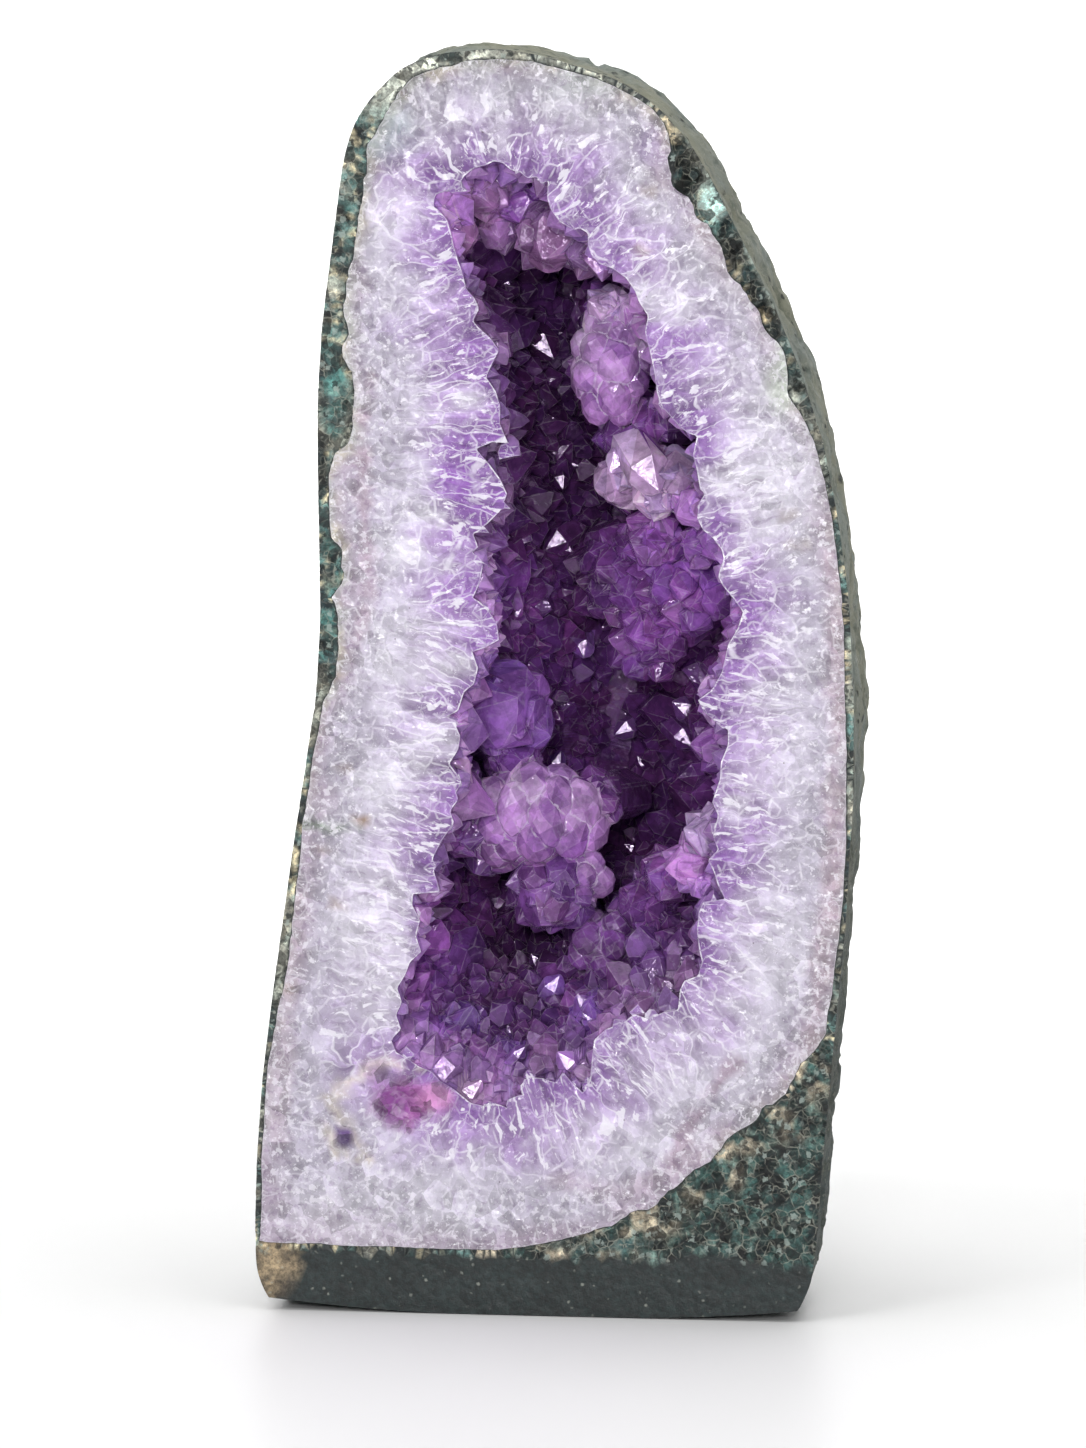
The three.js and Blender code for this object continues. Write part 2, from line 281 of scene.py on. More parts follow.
def zones(q):
    """Named zones of the sawn face for points (x, z)."""
    in_face = inside(face_loop, q)
    in_lin = inside(lining_rough, q)
    in_cav = inside(mouth, q)
    base_z = np.interp(q[:, 0], BASE_TOP[:, 0], BASE_TOP[:, 1]) + 0.7 * noise(flat3(q), 4, 9, 2)
    base = in_face & ~in_lin & (q[:, 1] < base_z)
    d_out, _ = nearest(face_loop, q)
    celadon = in_face & ~in_lin & ~base & (q[:, 1] < 66) & (q[:, 0] > -20)
    rind = in_face & ~in_lin & ~base & ~celadon
    return dict(face=in_face, lining=in_lin, cavity=in_cav, base=base, celadon=celadon, rind=rind, d_out=d_out)


# ------------------------------------------------------------------ the sawn face's relief, a block that cuts both pieces
def relief_block():
    x0, x1, z0, z1 = -88.0, 88.0, -14.0, 326.0
    cand = np.stack([rng.uniform(x0, x1, 90000), rng.uniform(z0, z1, 90000)], axis=1)
    zn = zones(cand)
    dm, im = nearest(mouth_soft[::2], cand)
    near = mouth_soft[::2][im]
    dirn = cand - near
    dirn /= np.linalg.norm(dirn, axis=1)[:, None] + 1e-9
    a = np.full(len(cand), 7.0)          # size along the growth direction
    b = np.full(len(cand), 7.0)          # size across it
    lin = zn["lining"]
    grow = step_(2, 30, dm)
    a[lin] = (3.9 - 0.8 * grow)[lin]
    b[lin] = (1.9 + 0.5 * grow)[lin]
    a[zn["cavity"] & (dm > 4)] = b[zn["cavity"] & (dm > 4)] = 6.0
    for k, s in (("celadon", 1.35), ("rind", 1.3), ("base", 3.6)):
        a[zn[k]] = b[zn[k]] = s
    # anisotropic dart throwing on a hash grid
    cell = 2.0
    gridd = {}
    keep = []
    for i in range(len(cand)):
        x, z = cand[i]
        gx, gz = int(x // cell), int(z // cell)
        ai, bi, (ux, uz) = a[i], b[i], dirn[i]
        reach = int(max(ai, bi) // cell) + 1
        ok = True
        for jx in range(gx - reach, gx + reach + 1):
            for jz in range(gz - reach, gz + reach + 1):
                for j in gridd.get((jx, jz), ()):
                    ex, ez = cand[j][0] - x, cand[j][1] - z
                    al = ex * ux + ez * uz
                    ac = -ex * uz + ez * ux
                    if (al / ai) ** 2 + (ac / bi) ** 2 < 1:
                        ok = False
                        break
                if not ok:
                    break
            if not ok:
                break
        if ok:
            gridd.setdefault((gx, gz), []).append(i)
            keep.append(i)
    pts = cand[keep]
    verts, edges, tris, *_ = geometry.delaunay_2d_cdt([Vector(p) for p in pts], [], [], 0, 1e-7)
    P = np.array([[v[0], v[1]] for v in verts])
    T = np.array([t for t in tris if len(t) == 3])
    A, B, C = P[T[:, 0]], P[T[:, 1]], P[T[:, 2]]
    D = 2 * (A[:, 0] * (B[:, 1] - C[:, 1]) + B[:, 0] * (C[:, 1] - A[:, 1]) + C[:, 0] * (A[:, 1] - B[:, 1]))
    a2, b2, c2 = (A ** 2).sum(1), (B ** 2).sum(1), (C ** 2).sum(1)
    cc = np.stack([(a2 * (B[:, 1] - C[:, 1]) + b2 * (C[:, 1] - A[:, 1]) + c2 * (A[:, 1] - B[:, 1])) / D,
                   (a2 * (C[:, 0] - B[:, 0]) + b2 * (A[:, 0] - C[:, 0]) + c2 * (B[:, 0] - A[:, 0])) / D], axis=1)
    cen = (A + B + C) / 3
    cc = cen + (cc - cen) * 0.8           # keeps thin cells open
    inc = [[] for _ in P]
    for t, (i, j, k) in enumerate(T):
        inc[i].append(t); inc[j].append(t); inc[k].append(t)
    margin = 6.0
    E, ids, pts2, kinds = set(), {}, [], []
    def vert(kind, i):
        if (kind, i) not in ids:
            ids[(kind, i)] = len(pts2)
            pts2.append(P[i] if kind else cc[i])
            kinds.append(kind)
        return ids[(kind, i)]
    for i, ts in enumerate(inc):
        x, z = P[i]
        if not (x0 + margin < x < x1 - margin and z0 + margin < z < z1 - margin) or len(ts) < 3:
            continue
        vert(1, i)
        ang = np.arctan2(cc[ts, 1] - z, cc[ts, 0] - x)
        r = [vert(0, ts[k]) for k in np.argsort(ang)]
        for k in range(len(r)):
            e = (r[k], r[(k + 1) % len(r)])
            E.add((min(e), max(e)))
    base = len(pts2)
    rim = []
    for x in np.arange(x0 - 4, x1 + 4, 8): rim.append((x, z0 - 4))
    for z in np.arange(z0 - 4, z1 + 4, 8): rim.append((x1 + 4, z))
    for x in np.arange(x1 + 4, x0 - 4, -8): rim.append((x, z1 + 4))
    for z in np.arange(z1 + 4, z0 - 4, -8): rim.append((x0 - 4, z))
    for q in rim:
        pts2.append(np.array(q)); kinds.append(0)
    E |= {(base + k, base + (k + 1) % len(rim)) for k in range(len(rim))}
    ov, oe, of_, orig, *_ = geometry.delaunay_2d_cdt([Vector(q) for q in pts2], sorted(E), [], 0, 1e-6)
    V2 = np.array([[v[0], v[1]] for v in ov])
    F = [tuple(t) for t in of_]
    is_c = np.array([any(kinds[k] for k in o) if len(o) else False for o in orig])
    zn = zones(V2)
    dm, _ = nearest(mouth_soft[::2], V2)
    amp = np.full(len(V2), 0.06)
    amp[zn["lining"]] = 0.24
    amp[zn["lining"] & (dm < 9)] = 0.32
    amp[zn["celadon"]] = 0.42
    amp[zn["rind"]] = 0.4
    amp[zn["base"]] = 0.03
    h = np.where(is_c, rng.uniform(-0.5, 1.0, len(V2)), rng.uniform(-1.0, 0.3, len(V2))) * amp
    h += amp * 0.8 * noise(flat3(V2), 9.0, 31, 2)
    # sunken quartz vugs and open pits in the rind
    for px, py, rx, rz, dep in PITS:
        c = at(px, py)
        e = ((V2[:, 0] - c[0]) / rx) ** 2 + ((V2[:, 1] - c[2]) / rz) ** 2
        h -= dep * np.clip(1.15 - e, 0, 1) ** 0.7
    v3 = np.stack([V2[:, 0], FACE_Y - h, V2[:, 1]], axis=1)
    # closed block: boundary edges go back and are capped
    count = {}
    for f in F:
        for k in range(3):
            e = (f[k], f[(k + 1) % 3])
            count[e] = 1
    nxt = {e[0]: e[1] for e in count if (e[1], e[0]) not in count}
    start = next(iter(nxt))
    loop, p = [start], nxt[start]
    while p != start:
        loop.append(p); p = nxt[p]
    n0 = len(v3)
    backv = v3[loop].copy(); backv[:, 1] = 90.0
    v3 = np.vstack([v3, backv])
    F = [tuple(f) for f in F]
    m = len(loop)
    for k in range(m):
        F.append((loop[(k + 1) % m], loop[k], n0 + k, n0 + (k + 1) % m))
    F.append(tuple(n0 + k for k in reversed(range(m))))
    return fix_normals(make_mesh("block", v3, F))


# dark open pits in the rind, and the small vug at the lower left: px, py, half-widths mm, depth mm
PITS = [(681, 146, 1.6, 2.0, 2.2), (686, 160, 2.2, 1.8, 2.4), (690, 175, 2.6, 2.2, 2.8), (683, 188, 1.9, 2.0, 2.2), (722, 228, 1.7, 2.2, 2.4),
        (735, 245, 2.6, 2.4, 2.6), (745, 262, 2.8, 2.2, 2.4), (752, 280, 2.6, 3.2, 2.6), (763, 295, 2.6, 3.0, 2.6), (768, 312, 2.4, 2.6, 2.6),
        (770, 332, 2.2, 2.0, 2.2), (793, 368, 1.8, 2.2, 1.6), (800, 385, 1.6, 2.6, 1.8), (346, 566, 0.9, 1.6, 0.8), (352, 120, 1.6, 1.2, 0.8),
        (400, 1105, 6.4, 4.6, 2.6), (428, 1103, 5.0, 4.6, 2.0), (345, 1137, 3.0, 2.6, 1.6), (376, 1078, 2.0, 1.8, 1.0)]


# ------------------------------------------------------------------ crystals
def planes_to_solid(N, D):
    """Vertices of the convex solid n.x <= d."""
    m = len(N)
    I, J, K = np.array([(i, j, k) for i in range(m) for j in range(i + 1, m) for k in range(j + 1, m)]).T
    A = np.stack([N[I], N[J], N[K]], axis=1)
    det = np.linalg.det(A)
    ok = np.abs(det) > 1e-4
    A, b = A[ok], np.stack([D[I], D[J], D[K]], axis=1)[ok]
    X = np.linalg.solve(A, b[..., None])[..., 0]
    X = X[np.all(X @ N.T <= D + 1e-5, axis=1)]
    return np.unique(np.round(X, 4), axis=0)


def crystal_points(r, rise, root, local, bevel, cap=52.0, even=0.12, turn=None):
    """Hexagonal point along +Z: the tip is at z = 0, the root at z = -(rise + root)."""
    lead = turn is not None
    turn = turn if lead else local.uniform(0, math.pi / 3)
    N, D = [], []
    pr = r * (1 + local.uniform(-even, even, 6))
    slope = math.radians(cap)
    big = local.integers(0, 2)
    for k in range(6):
        a = turn + k * math.pi / 3
        c, s = math.cos(a), math.sin(a)
        N.append((c, s, 0)); D.append(pr[k])
    tops = []
    for k in range(6):
        a = turn + k * math.pi / 3 + (0 if lead else local.uniform(-0.05, 0.05))
        c, s = math.cos(a) * math.sin(slope), math.sin(a) * math.sin(slope)
        off = local.uniform(0.0, 0.16) if k % 2 == big else local.uniform(0.08, 0.62)
        if lead:
            off = 0.0 if k == 0 else (local.uniform(0.0, 0.2) if k in (1, 5) else local.uniform(0.3, 0.8))
        N.append((c, s, math.cos(slope))); D.append(off * r * 0.5)
        tops.append((N[-1], D[-1]))
    if bevel:
        w = bevel * r
        for k in range(6):
            for p, q in ((k, 6 + k), (6 + k, 6 + (k + 1) % 6), (k, (k + 1) % 6)):
                n1, n2 = np.array(N[p]), np.array(N[q])
                n = n1 + n2
                L = np.linalg.norm(n)
                N.append(tuple(n / L)); D.append((D[p] + D[q]) / L - w * local.uniform(0.5, 1.4))
    N.append((0, 0, -1.0)); D.append(rise + root)
    return planes_to_solid(np.array(N), np.array(D))


def hull_object(name, pts):
    bm = bmesh.new()
    for p in pts:
        bm.verts.new(p)
    r = bmesh.ops.convex_hull(bm, input=bm.verts[:])
    loose = [v for v in bm.verts if not v.link_faces]
    if loose:
        bmesh.ops.delete(bm, geom=loose, context="VERTS")
    for v in bm.verts:
        v.co.x += SHIFT_X
        v.co *= 0.001
    me = bpy.data.meshes.new(name)
    bm.to_mesh(me)
    bm.free()
    o = bpy.data.objects.new(name, me)
    return o


def frame_of(axis):
    axis = axis / np.linalg.norm(axis)
    h = np.array([0.0, 0, 1]) if abs(axis[2]) < 0.9 else np.array([1.0, 0, 0])
    u = np.cross(h, axis); u /= np.linalg.norm(u)
    return np.stack([u, np.cross(axis, u), axis], axis=1)


CRYSTALS = []                        # tip, axis, radius, tone index


def crystal(tip, axis, r, rise, root, tone=0, cap=52.0, bevel=0.07, even=0.12, turn=None):
    tip, axis = np.asarray(tip, float), np.asarray(axis, float)
    axis = axis / np.linalg.norm(axis)
    pts = crystal_points(r, rise, root, rng, bevel, cap, even, turn)
    pts = pts @ frame_of(axis).T + tip
    CRYSTALS.append((tip, axis, r, tone, rng.uniform()))
    return hull_object("c%d" % len(CRYSTALS), pts)


# centre line of the cavity: z, x
MID = np.array([[66, -6], [85, 0], [110, 4], [140, 8], [165, 11], [190, 10], [215, 6], [240, -1], [262, -9]], float)
CAVITY_DEPTH = 62.0


def mid_of(q):
    z = np.clip(q[:, 1], 70, 258)
    return np.stack([np.interp(z, MID[:, 0], MID[:, 1]), z], axis=1)


def hollow_loop(depth):
    """Loop of the cavity wall at a depth behind the face."""
    t = depth / CAVITY_DEPTH
    w = step_(1.0, 15.0, depth)
    base = mouth * (1 - w) + (mouth_soft + mouth_n * (5.0 * step_(3, 18, depth))) * w
    share = float(np.interp(t, [0, 0.3, 0.55, 0.72, 0.86, 0.95, 1.0], [1, 1, 0.93, 0.8, 0.58, 0.34, 0.1]))
    m = mid_of(mouth_soft)
    l = m + (base - m) * share
    rise = 1.15 * min(depth, 30.0) * step_(1, 8, depth) * step_(94, 72, mouth_soft[:, 1])
    l = l + np.stack([np.zeros(len(l)), rise], axis=1)
    return l


def wall_depth(px, py):
    """Depth behind the face at which the line of sight through px, py meets the bare cavity wall."""
    for d in np.arange(4.0, CAVITY_DEPTH, 1.0):
        c = at(px, py, d)
        if not inside(hollow_loop(d), np.array([[c[0], c[2]]]))[0]:
            return d
    return CAVITY_DEPTH


# Crystals with one face turned so that it mirrors the front lamp: px, py, radius mm, lean of the axis (x, z), lift towards the eye mm
# (below zero: depth behind the face), tone
GLINTS = [(546, 350, 3.4, 0.5, -0.6, 5, 0), (526, 326, 1.8, -0.5, 0.6, 4, 0), (561, 484, 1.7, 0.2, -0.8, 4, 0), (553, 543, 2.8, -0.6, -0.5, 4, 0),
          (567, 548, 2.0, 0.7, -0.5, 4, 0), (614, 466, 2.4, -0.3, -0.5, -11.5, 3), (652, 479, 4.2, 0.3, -0.5, -5.6, 3), (685, 575, 2.4, -0.6, 0.3, 6, 2),
          (652, 625, 1.6, 0.3, -0.6, 5, 0), (605, 625, 1.4, -0.5, -0.5, 5, 0), (583, 651, 2.3, 0.1, -0.7, 5, 4), (621, 731, 2.3, -0.6, -0.4, 5, 4),
          (559, 719, 1.6, 0.5, -0.5, 4, 0), (559, 757, 1.8, 0.2, 0.6, 4, 4), (686, 741, 2.3, 0.5, -0.5, 4, 0), (680, 706, 2.4, -0.6, 0.3, 4, 4),
          (584, 1004, 3.2, -0.4, 0.5, 6, 4), (556, 981, 2.2, 0.4, 0.6, 5, 4), (476, 1086, 2.6, 0.5, 0.5, 4, 3), (563, 1058, 2.2, -0.5, 0.5, 4, 2),
          (521, 1050, 1.5, 0.5, 0.5, 4, 4), (519, 610, 1.2, 0.5, 0.5, 4, 0), (640, 760, 1.2, -0.4, 0.6, 4, 0), (596, 905, 1.3, 0.4, 0.6, 5, 4),
          (628, 846, 1.2, -0.6, 0.3, 4, 0), (508, 278, 1.2, 0.2, 0.8, 3, 0), (534, 958, 1.3, -0.4, 0.5, 4, 0), (660, 668, 1.2, 0.4, -0.6, 4, 0)]
LAMP_FRONT = np.array([90.0, -1750.0, 520.0])          # mm, the small lamp by the camera


def glint_depth(px, py, lift):
    return -lift if lift < 0 else max(wall_depth(px, py) - lift * 1.1 - 0.8, 3.0)


def glint(px, py, r, lx, lz, lift, tone, cap=52.0):
    c = at(px, py, glint_depth(px, py, lift))
    r, root = r * 1.12, 11.0 if lift < 0 else 7.0 + 1.4 * lift
    eye, lamp = CAM - c, LAMP_FRONT - c
    h = eye / np.linalg.norm(eye) + lamp / np.linalg.norm(lamp)
    h /= np.linalg.norm(h)
    t = np.array([lx, 0.0, lz])
    t -= h * (t @ h)
    t /= np.linalg.norm(t)
    phi = math.radians(cap)
    axis = math.cos(phi) * h + math.sin(phi) * t
    M = frame_of(axis)
    e = (h - axis * math.cos(phi)) / math.sin(phi)
    turn = math.atan2(e @ M[:, 1], e @ M[:, 0])
    tip = c + t * r * 0.55
    o = crystal(tip, axis, r, r * 1.5, root, tone, cap=cap, bevel=0, turn=turn)
    CLEAR.append((c, h, r))
    return o


CLEAR = []                           # centre, normal and radius of the mirroring faces


def build():
    block = relief_block()

    # ---- the quartz lining's body
    soft = smooth_loop(lining_rough, 5)
    outs = [-4, 0, 2.0, 6, 14, 26, 40, 55, 68, 80, 89, 96, 100.5, 102.3]
    prof = [[-0.09, 1], [0, 1], [0.1, 1], [0.24, 1], [0.38, 0.985], [0.52, 0.945], [0.65, 0.87], [0.77, 0.76], [0.87, 0.615], [0.945, 0.43], [0.985, 0.22], [1.0, 0.06]]
    prof = np.array(prof)
    ctr = np.array([0.0, 150.0])
    def body_loops(back, inset):
        loops, ys = [], []
        nn = out_normals(smooth_loop(lining_rough, 3))
        for d in outs:
            w = step_(0.5, 10, d)
            l = (lining_rough * (1 - w) + soft * w) - nn * (inset + 4.2 * step_(0.3, 11, d))
            s = float(np.interp(d / back, prof[:, 0], prof[:, 1]))
            loops.append(ctr + (l - ctr) * s)
            ys.append(FACE_Y + d)
        return loops, ys
    loops, ys = body_loops(102.6, 0.12)
    lining = fix_normals(ring_form("crystal_lining_grown", loops, ys))
    depths = [-6, 0, 1.0, 3, 6, 10, 15, 21, 28, 35, 42, 48, 53, 57, 60, 62]
    hollow = fix_normals(ring_form("hollow", [hollow_loop(d) for d in depths], [FACE_Y + d for d in depths]))

    objs = []
    # ---- crystals over the cavity wall
    dd = np.array(depths[1:])
    loops_d = np.stack([hollow_loop(d) for d in dd])           # depth, column, 2
    L3 = np.stack([loops_d[..., 0], np.repeat((FACE_Y + dd)[:, None], loops_d.shape[1], 1), loops_d[..., 1]], axis=2)
    n = loops_d.shape[1]
    quads = []
    for k in range(len(dd) - 1):
        a, b = L3[k], L3[k + 1]
        a2, b2 = np.roll(a, -1, 0), np.roll(b, -1, 0)
        quads.append(np.stack([a, a2, b2, b], axis=1))
    Q = np.concatenate(quads)
    nrm = np.cross(Q[:, 2] - Q[:, 0], Q[:, 3] - Q[:, 1])
    area = np.linalg.norm(nrm, axis=1) / 2
    pick = rng.choice(len(Q), 22000, p=area / area.sum())
    u = rng.uniform(size=(22000, 2))
    q = Q[pick]
    P = (q[:, 0] * ((1 - u[:, :1]) * (1 - u[:, 1:])) + q[:, 1] * (u[:, :1] * (1 - u[:, 1:])) + q[:, 2] * (u[:, :1] * u[:, 1:]) + q[:, 3] * ((1 - u[:, :1]) * u[:, 1:]))
    Nn = nrm[pick] / (2 * area[pick][:, None] + 1e-9)
    m = mid_of(P[:, [0, 2]])
    inward = np.stack([m[:, 0] - P[:, 0], np.full(len(P), -26.0), m[:, 1] - P[:, 2]], axis=1)
    Nn *= np.sign((Nn * inward).sum(1))[:, None]
    # smaller points low down and at the lower left, larger ones in the middle
    low = step_(105, 70, P[:, 2])
    size = 3.7 - 0.9 * low + 0.8 * noise(P, 26, 5)
    size *= np.clip(rng.lognormal(0, 0.3, len(P)), 0.55, 1.8)
    # room in front of the mirroring faces
    for px, py, r, lx, lz, lift, tone in GLINTS:
        c = at(px, py, glint_depth(px, py, lift))
        w = CAM - c
        w /= np.linalg.norm(w)
        v = P - c
        along = v @ w
        off = np.linalg.norm(v - along[:, None] * w, axis=1)
        size = np.where((along > -7.0) & (off < r * 1.5 + 0.4 * size), 0.0, size)
    taken = []
    tk = np.zeros((0, 4))
    for i in range(len(P)):
        depth = P[i, 1] - FACE_Y
        r = size[i]
        if 0.5 < r and depth < 7:
            r = min(r, 1.6 + depth * 0.35)
        if r < 0.5 or depth < r * 0.75 + 0.6:
            continue
        if len(tk):
            d2 = ((tk[:, :3] - P[i]) ** 2).sum(1)
            if np.any(d2 < ((tk[:, 3] + r) * 0.54) ** 2):
                continue
        tk = np.vstack([tk, [*P[i], r]])
        ax = Nn[i] + rng.normal(0, 0.26, 3)
        ax /= np.linalg.norm(ax)
        if depth < 14:
            ax[1] = abs(ax[1]) * 0.3 - 0.05
        rise = r * rng.uniform(0.7, 1.9) if depth > 8 else r * rng.uniform(0.5, 1.2)
        taken.append((P[i] + ax * rise, ax, r, rise))
        if len(taken) >= 1500:
            break
    for tip, ax, r, rise in taken:
        objs.append(crystal(tip, ax, r, rise, r * 1.4, 0, cap=rng.uniform(46, 58), bevel=0))
    for mnd in MOUNDS:
        objs += mound(*mnd)
    for lmp in LUMPS:
        objs += lump(*lmp)
    # ---- short points that look out from under the face's edge
    step = 6
    for i in range(0, len(mouth), step):
        p, nn_ = mouth[i], mouth_n[i]
        r = rng.uniform(2.2, 4.4)
        depth = rng.uniform(2.6, 6.5) + r * 0.7
        over = rng.uniform(-0.6, 2.6)
        inn = -nn_ + rng.normal(0, 0.22, 2)
        ax = np.array([inn[0], rng.uniform(-0.12, 0.25), inn[1]])
        tip = np.array([p[0] - nn_[0] * over, FACE_Y + depth, p[1] - nn_[1] * over])
        objs.append(crystal(tip, ax, r, r * 2.2, r * 0.8, 1, cap=rng.uniform(46, 60), bevel=0.06))
    for g in GLINTS:
        objs.append(glint(*g))
    # the hollow is cut out, then the crystals are grown into the body
    boolean(lining, "DIFFERENCE", hollow)
    boolean(lining, "UNION", objs)
    blk2 = block.copy(); blk2.data = block.data.copy()
    bpy.context.scene.collection.objects.link(blk2)
    boolean(lining, "INTERSECT", blk2)

    # ---- the rock
    rock = rock_form()
    loops, ys = body_loops(103.0, 0.0)
    seat = fix_normals(ring_form("seat", loops, ys))
    boolean(rock, "INTERSECT", block)
    boolean(rock, "DIFFERENCE", seat)
    boolean(rock, "INTERSECT", ground_block())
    return lining, rock


def ground_block():
    """Everything above the sawn base; the front bottom edge is eased at its two ends."""
    xs = np.concatenate([[-95], np.linspace(-76, 76, 77), [95]])
    ysb = np.concatenate([[-70, -58], np.linspace(-56.5, -20, 30), [-10, 90]])
    X, Y = np.meshgrid(xs, ysb)
    lift = 3.0 * np.clip((np.abs(X + 4) - 22) / 46, 0, 1.2) ** 1.7 * (1 - step_(0, 26, Y + 56))
    Z = np.where(lift > 0, lift, 0.0)
    v = np.stack([X.ravel(), Y.ravel(), Z.ravel()], axis=1)
    top = v.copy(); top[:, 2] = 330
    nx, ny = len(xs), len(ysb)
    f = []
    for j in range(ny - 1):
        for i in range(nx - 1):
            a = j * nx + i
            f.append((a, a + 1, a + nx + 1, a + nx))
    N = nx * ny
    edge = [i for i in range(nx)] + [j * nx + nx - 1 for j in range(1, ny)] + [(ny - 1) * nx + i for i in range(nx - 2, -1, -1)] + [j * nx for j in range(ny - 2, 0, -1)]
    v2 = np.vstack([v, top[edge]])
    m = len(edge)
    for k in range(m):
        f.append((edge[(k + 1) % m], edge[k], N + k, N + (k + 1) % m))
    f.append(tuple(N + k for k in range(m)))
    # bottom faces point down: reverse them
    f = [tuple(reversed(t)) if i < (nx - 1) * (ny - 1) else t for i, t in enumerate(f)]
    f = f[:(nx - 1) * (ny - 1)] + [tuple(reversed(t)) for t in f[(nx - 1) * (ny - 1):]]
    bm = bmesh.new()
    me = bpy.data.meshes.new("ground")
    vv = v2.copy(); vv[:, 0] += SHIFT_X
    me.from_pydata((vv * 0.001).tolist(), [], f)
    bm.from_mesh(me)
    bmesh.ops.recalc_face_normals(bm, faces=bm.faces[:])
    bm.to_mesh(me); bm.free()
    o = bpy.data.objects.new("ground", me)
    bpy.context.scene.collection.objects.link(o)
    return fix_normals(o)


def rock_form():
    prof = np.array([[-0.09, 1], [0, 1], [0.1, 1], [0.24, 1], [0.38, 0.985], [0.52, 0.945], [0.65, 0.87], [0.77, 0.76], [0.87, 0.615], [0.945, 0.43], [0.985, 0.22], [1.0, 0.02]])
    ctr = np.array([0.0, 150.0])
    n = len(face_loop)
    # rings at equal steps along the section, so that the back is as fine as the sides
    dd = np.linspace(2.6, 112.0, 3000)
    ss = np.interp(dd / 112.0, prof[:, 0], prof[:, 1])
    arc = np.concatenate([[0], np.cumsum(np.hypot(np.diff(dd), 115 * np.diff(ss)))])
    fine = np.arange(0, arc[-1], 0.55)
    dd, ss = np.interp(fine, arc, dd), np.interp(fine, arc, ss)
    g = np.exp(-0.5 * (np.arange(-20, 21) * 0.55 / 3.5) ** 2)
    g /= g.sum()
    dd, ss = (np.convolve(np.concatenate([2 * v[0] - v[20:0:-1], v, 2 * v[-1] - v[-2:-22:-1]]), g, "valid") for v in (dd, ss))
    pick = np.unique(np.append(np.arange(0, len(dd), 4), len(dd) - 1))
    ds = np.concatenate([[-6, -2, 0, 1.2], dd[pick]])
    shares = np.concatenate([[1, 1, 1, 1], ss[pick]])
    ang = np.arctan2(face_loop[:, 0], face_loop[:, 1] - 150)
    V = []
    for d, sh in zip(ds, shares):
        t = d / 112.0
        swell = 0.014 * step_(0.35, 0.9, np.cos(ang)) * step_(0, 0.16, t) * (1 - step_(0.35, 0.9, t))
        waves = np.sin(3 * ang + 7 * t) + np.sin(5 * ang - 4 * t + 1.3) * 0.7 + np.sin(8 * ang + 9 * t) * 0.35
        k = sh * (1 + swell + 0.014 * (waves - 1) * step_(0.12, 0.6, t))
        l = ctr + (face_loop - ctr) * k[:, None]
        V.append(np.stack([l[:, 0], np.full(n, FACE_Y + d), l[:, 1]], axis=1))
    V = np.array(V)                                       # ring, column, 3
    du = np.roll(V, -1, 1) - np.roll(V, 1, 1)
    dv = np.gradient(V, axis=0)
    N = np.cross(du, dv)
    N /= np.linalg.norm(N, axis=2)[..., None] + 1e-9
    c = V - np.array([0, -10, 150])
    N *= np.sign((N * c).sum(2))[..., None]
    P = V.reshape(-1, 3)
    depth = P[:, 1] - FACE_Y
    disp = 1.6 * noise(P, 19, 51, 3) + 1.15 * noise(P, 6.5, 52, 3)
    # vesicles: round pits of several sizes
    for size, deep, seed, cut in ((7.5, 1.7, 61, 0.42), (4.2, 1.0, 62, 0.36), (2.6, 0.55, 63, 0.3)):
        v = noise(P, size, seed)
        disp -= deep * step_(cut, cut + 0.35, v)
    disp *= step_(0.3, 9, depth) * 0.85 + 0.15
    disp = np.where(depth < 0.2, 0, disp)
    disp -= 0.35 * step_(0.3, 9, depth)
    P = P + N.reshape(-1, 3) * disp[:, None]
    V = P.reshape(V.shape)
    f = []
    for k in range(len(ds) - 1):
        a, b = k * n, (k + 1) * n
        for i in range(n):
            j = (i + 1) % n
            f.append((a + i, b + i, b + j, a + j))
    f.append(tuple(range(n)))
    f.append(tuple(range(len(ds) * n - 1, (len(ds) - 1) * n - 1, -1)))
    return fix_normals(make_mesh("host_rock_shell", P, f))


def mound(px, py, depth, R, axis, count, rr, tone, root=14.0, cap=50.0, spread=78.0, tall=1.0, core=0.62):
    """A knob of crystals that spread from one root; the middle of its front is at px, py."""
    c = at(px, py, depth)
    axis = np.array(axis, float); axis /= np.linalg.norm(axis)
    M = frame_of(axis)
    origin = c - axis * R * 0.75
    out = [crystal(origin + axis * R * 1.08, axis + rng.normal(0, 0.05, 3), R * core, R * 1.08, root, tone, cap=cap, bevel=0.05)]
    if tall > 1.2:
        for k in (-0.5, 0.5):
            out.append(crystal(origin + np.array([0, 0, k * R * (tall - 1) * 1.4]) + axis * R * 0.98, axis, R * 0.6, R, root, tone, cap=cap, bevel=0.05))
    for i in range(count):
        th = math.radians(spread) * math.sqrt((i + 0.7) / count)
        ph = i * 2.39996 + rng.uniform(-0.3, 0.3)
        d = M @ np.array([math.sin(th) * math.cos(ph), math.sin(th) * math.sin(ph), math.cos(th)])
        r = R * rng.uniform(*rr)
        L = R * rng.uniform(0.92, 1.07)
        tip = origin + d * np.array([1, 1, tall]) * L
        ax = d * 0.75 + axis * 0.25 + rng.normal(0, 0.08, 3)
        out.append(crystal(tip, ax, r, L * 0.8, root * 0.35, tone, cap=cap + rng.uniform(-6, 6), bevel=0.06))
    return out


LOBES = []                           # centre, radii, tone, own number, middle and half-height of the cluster


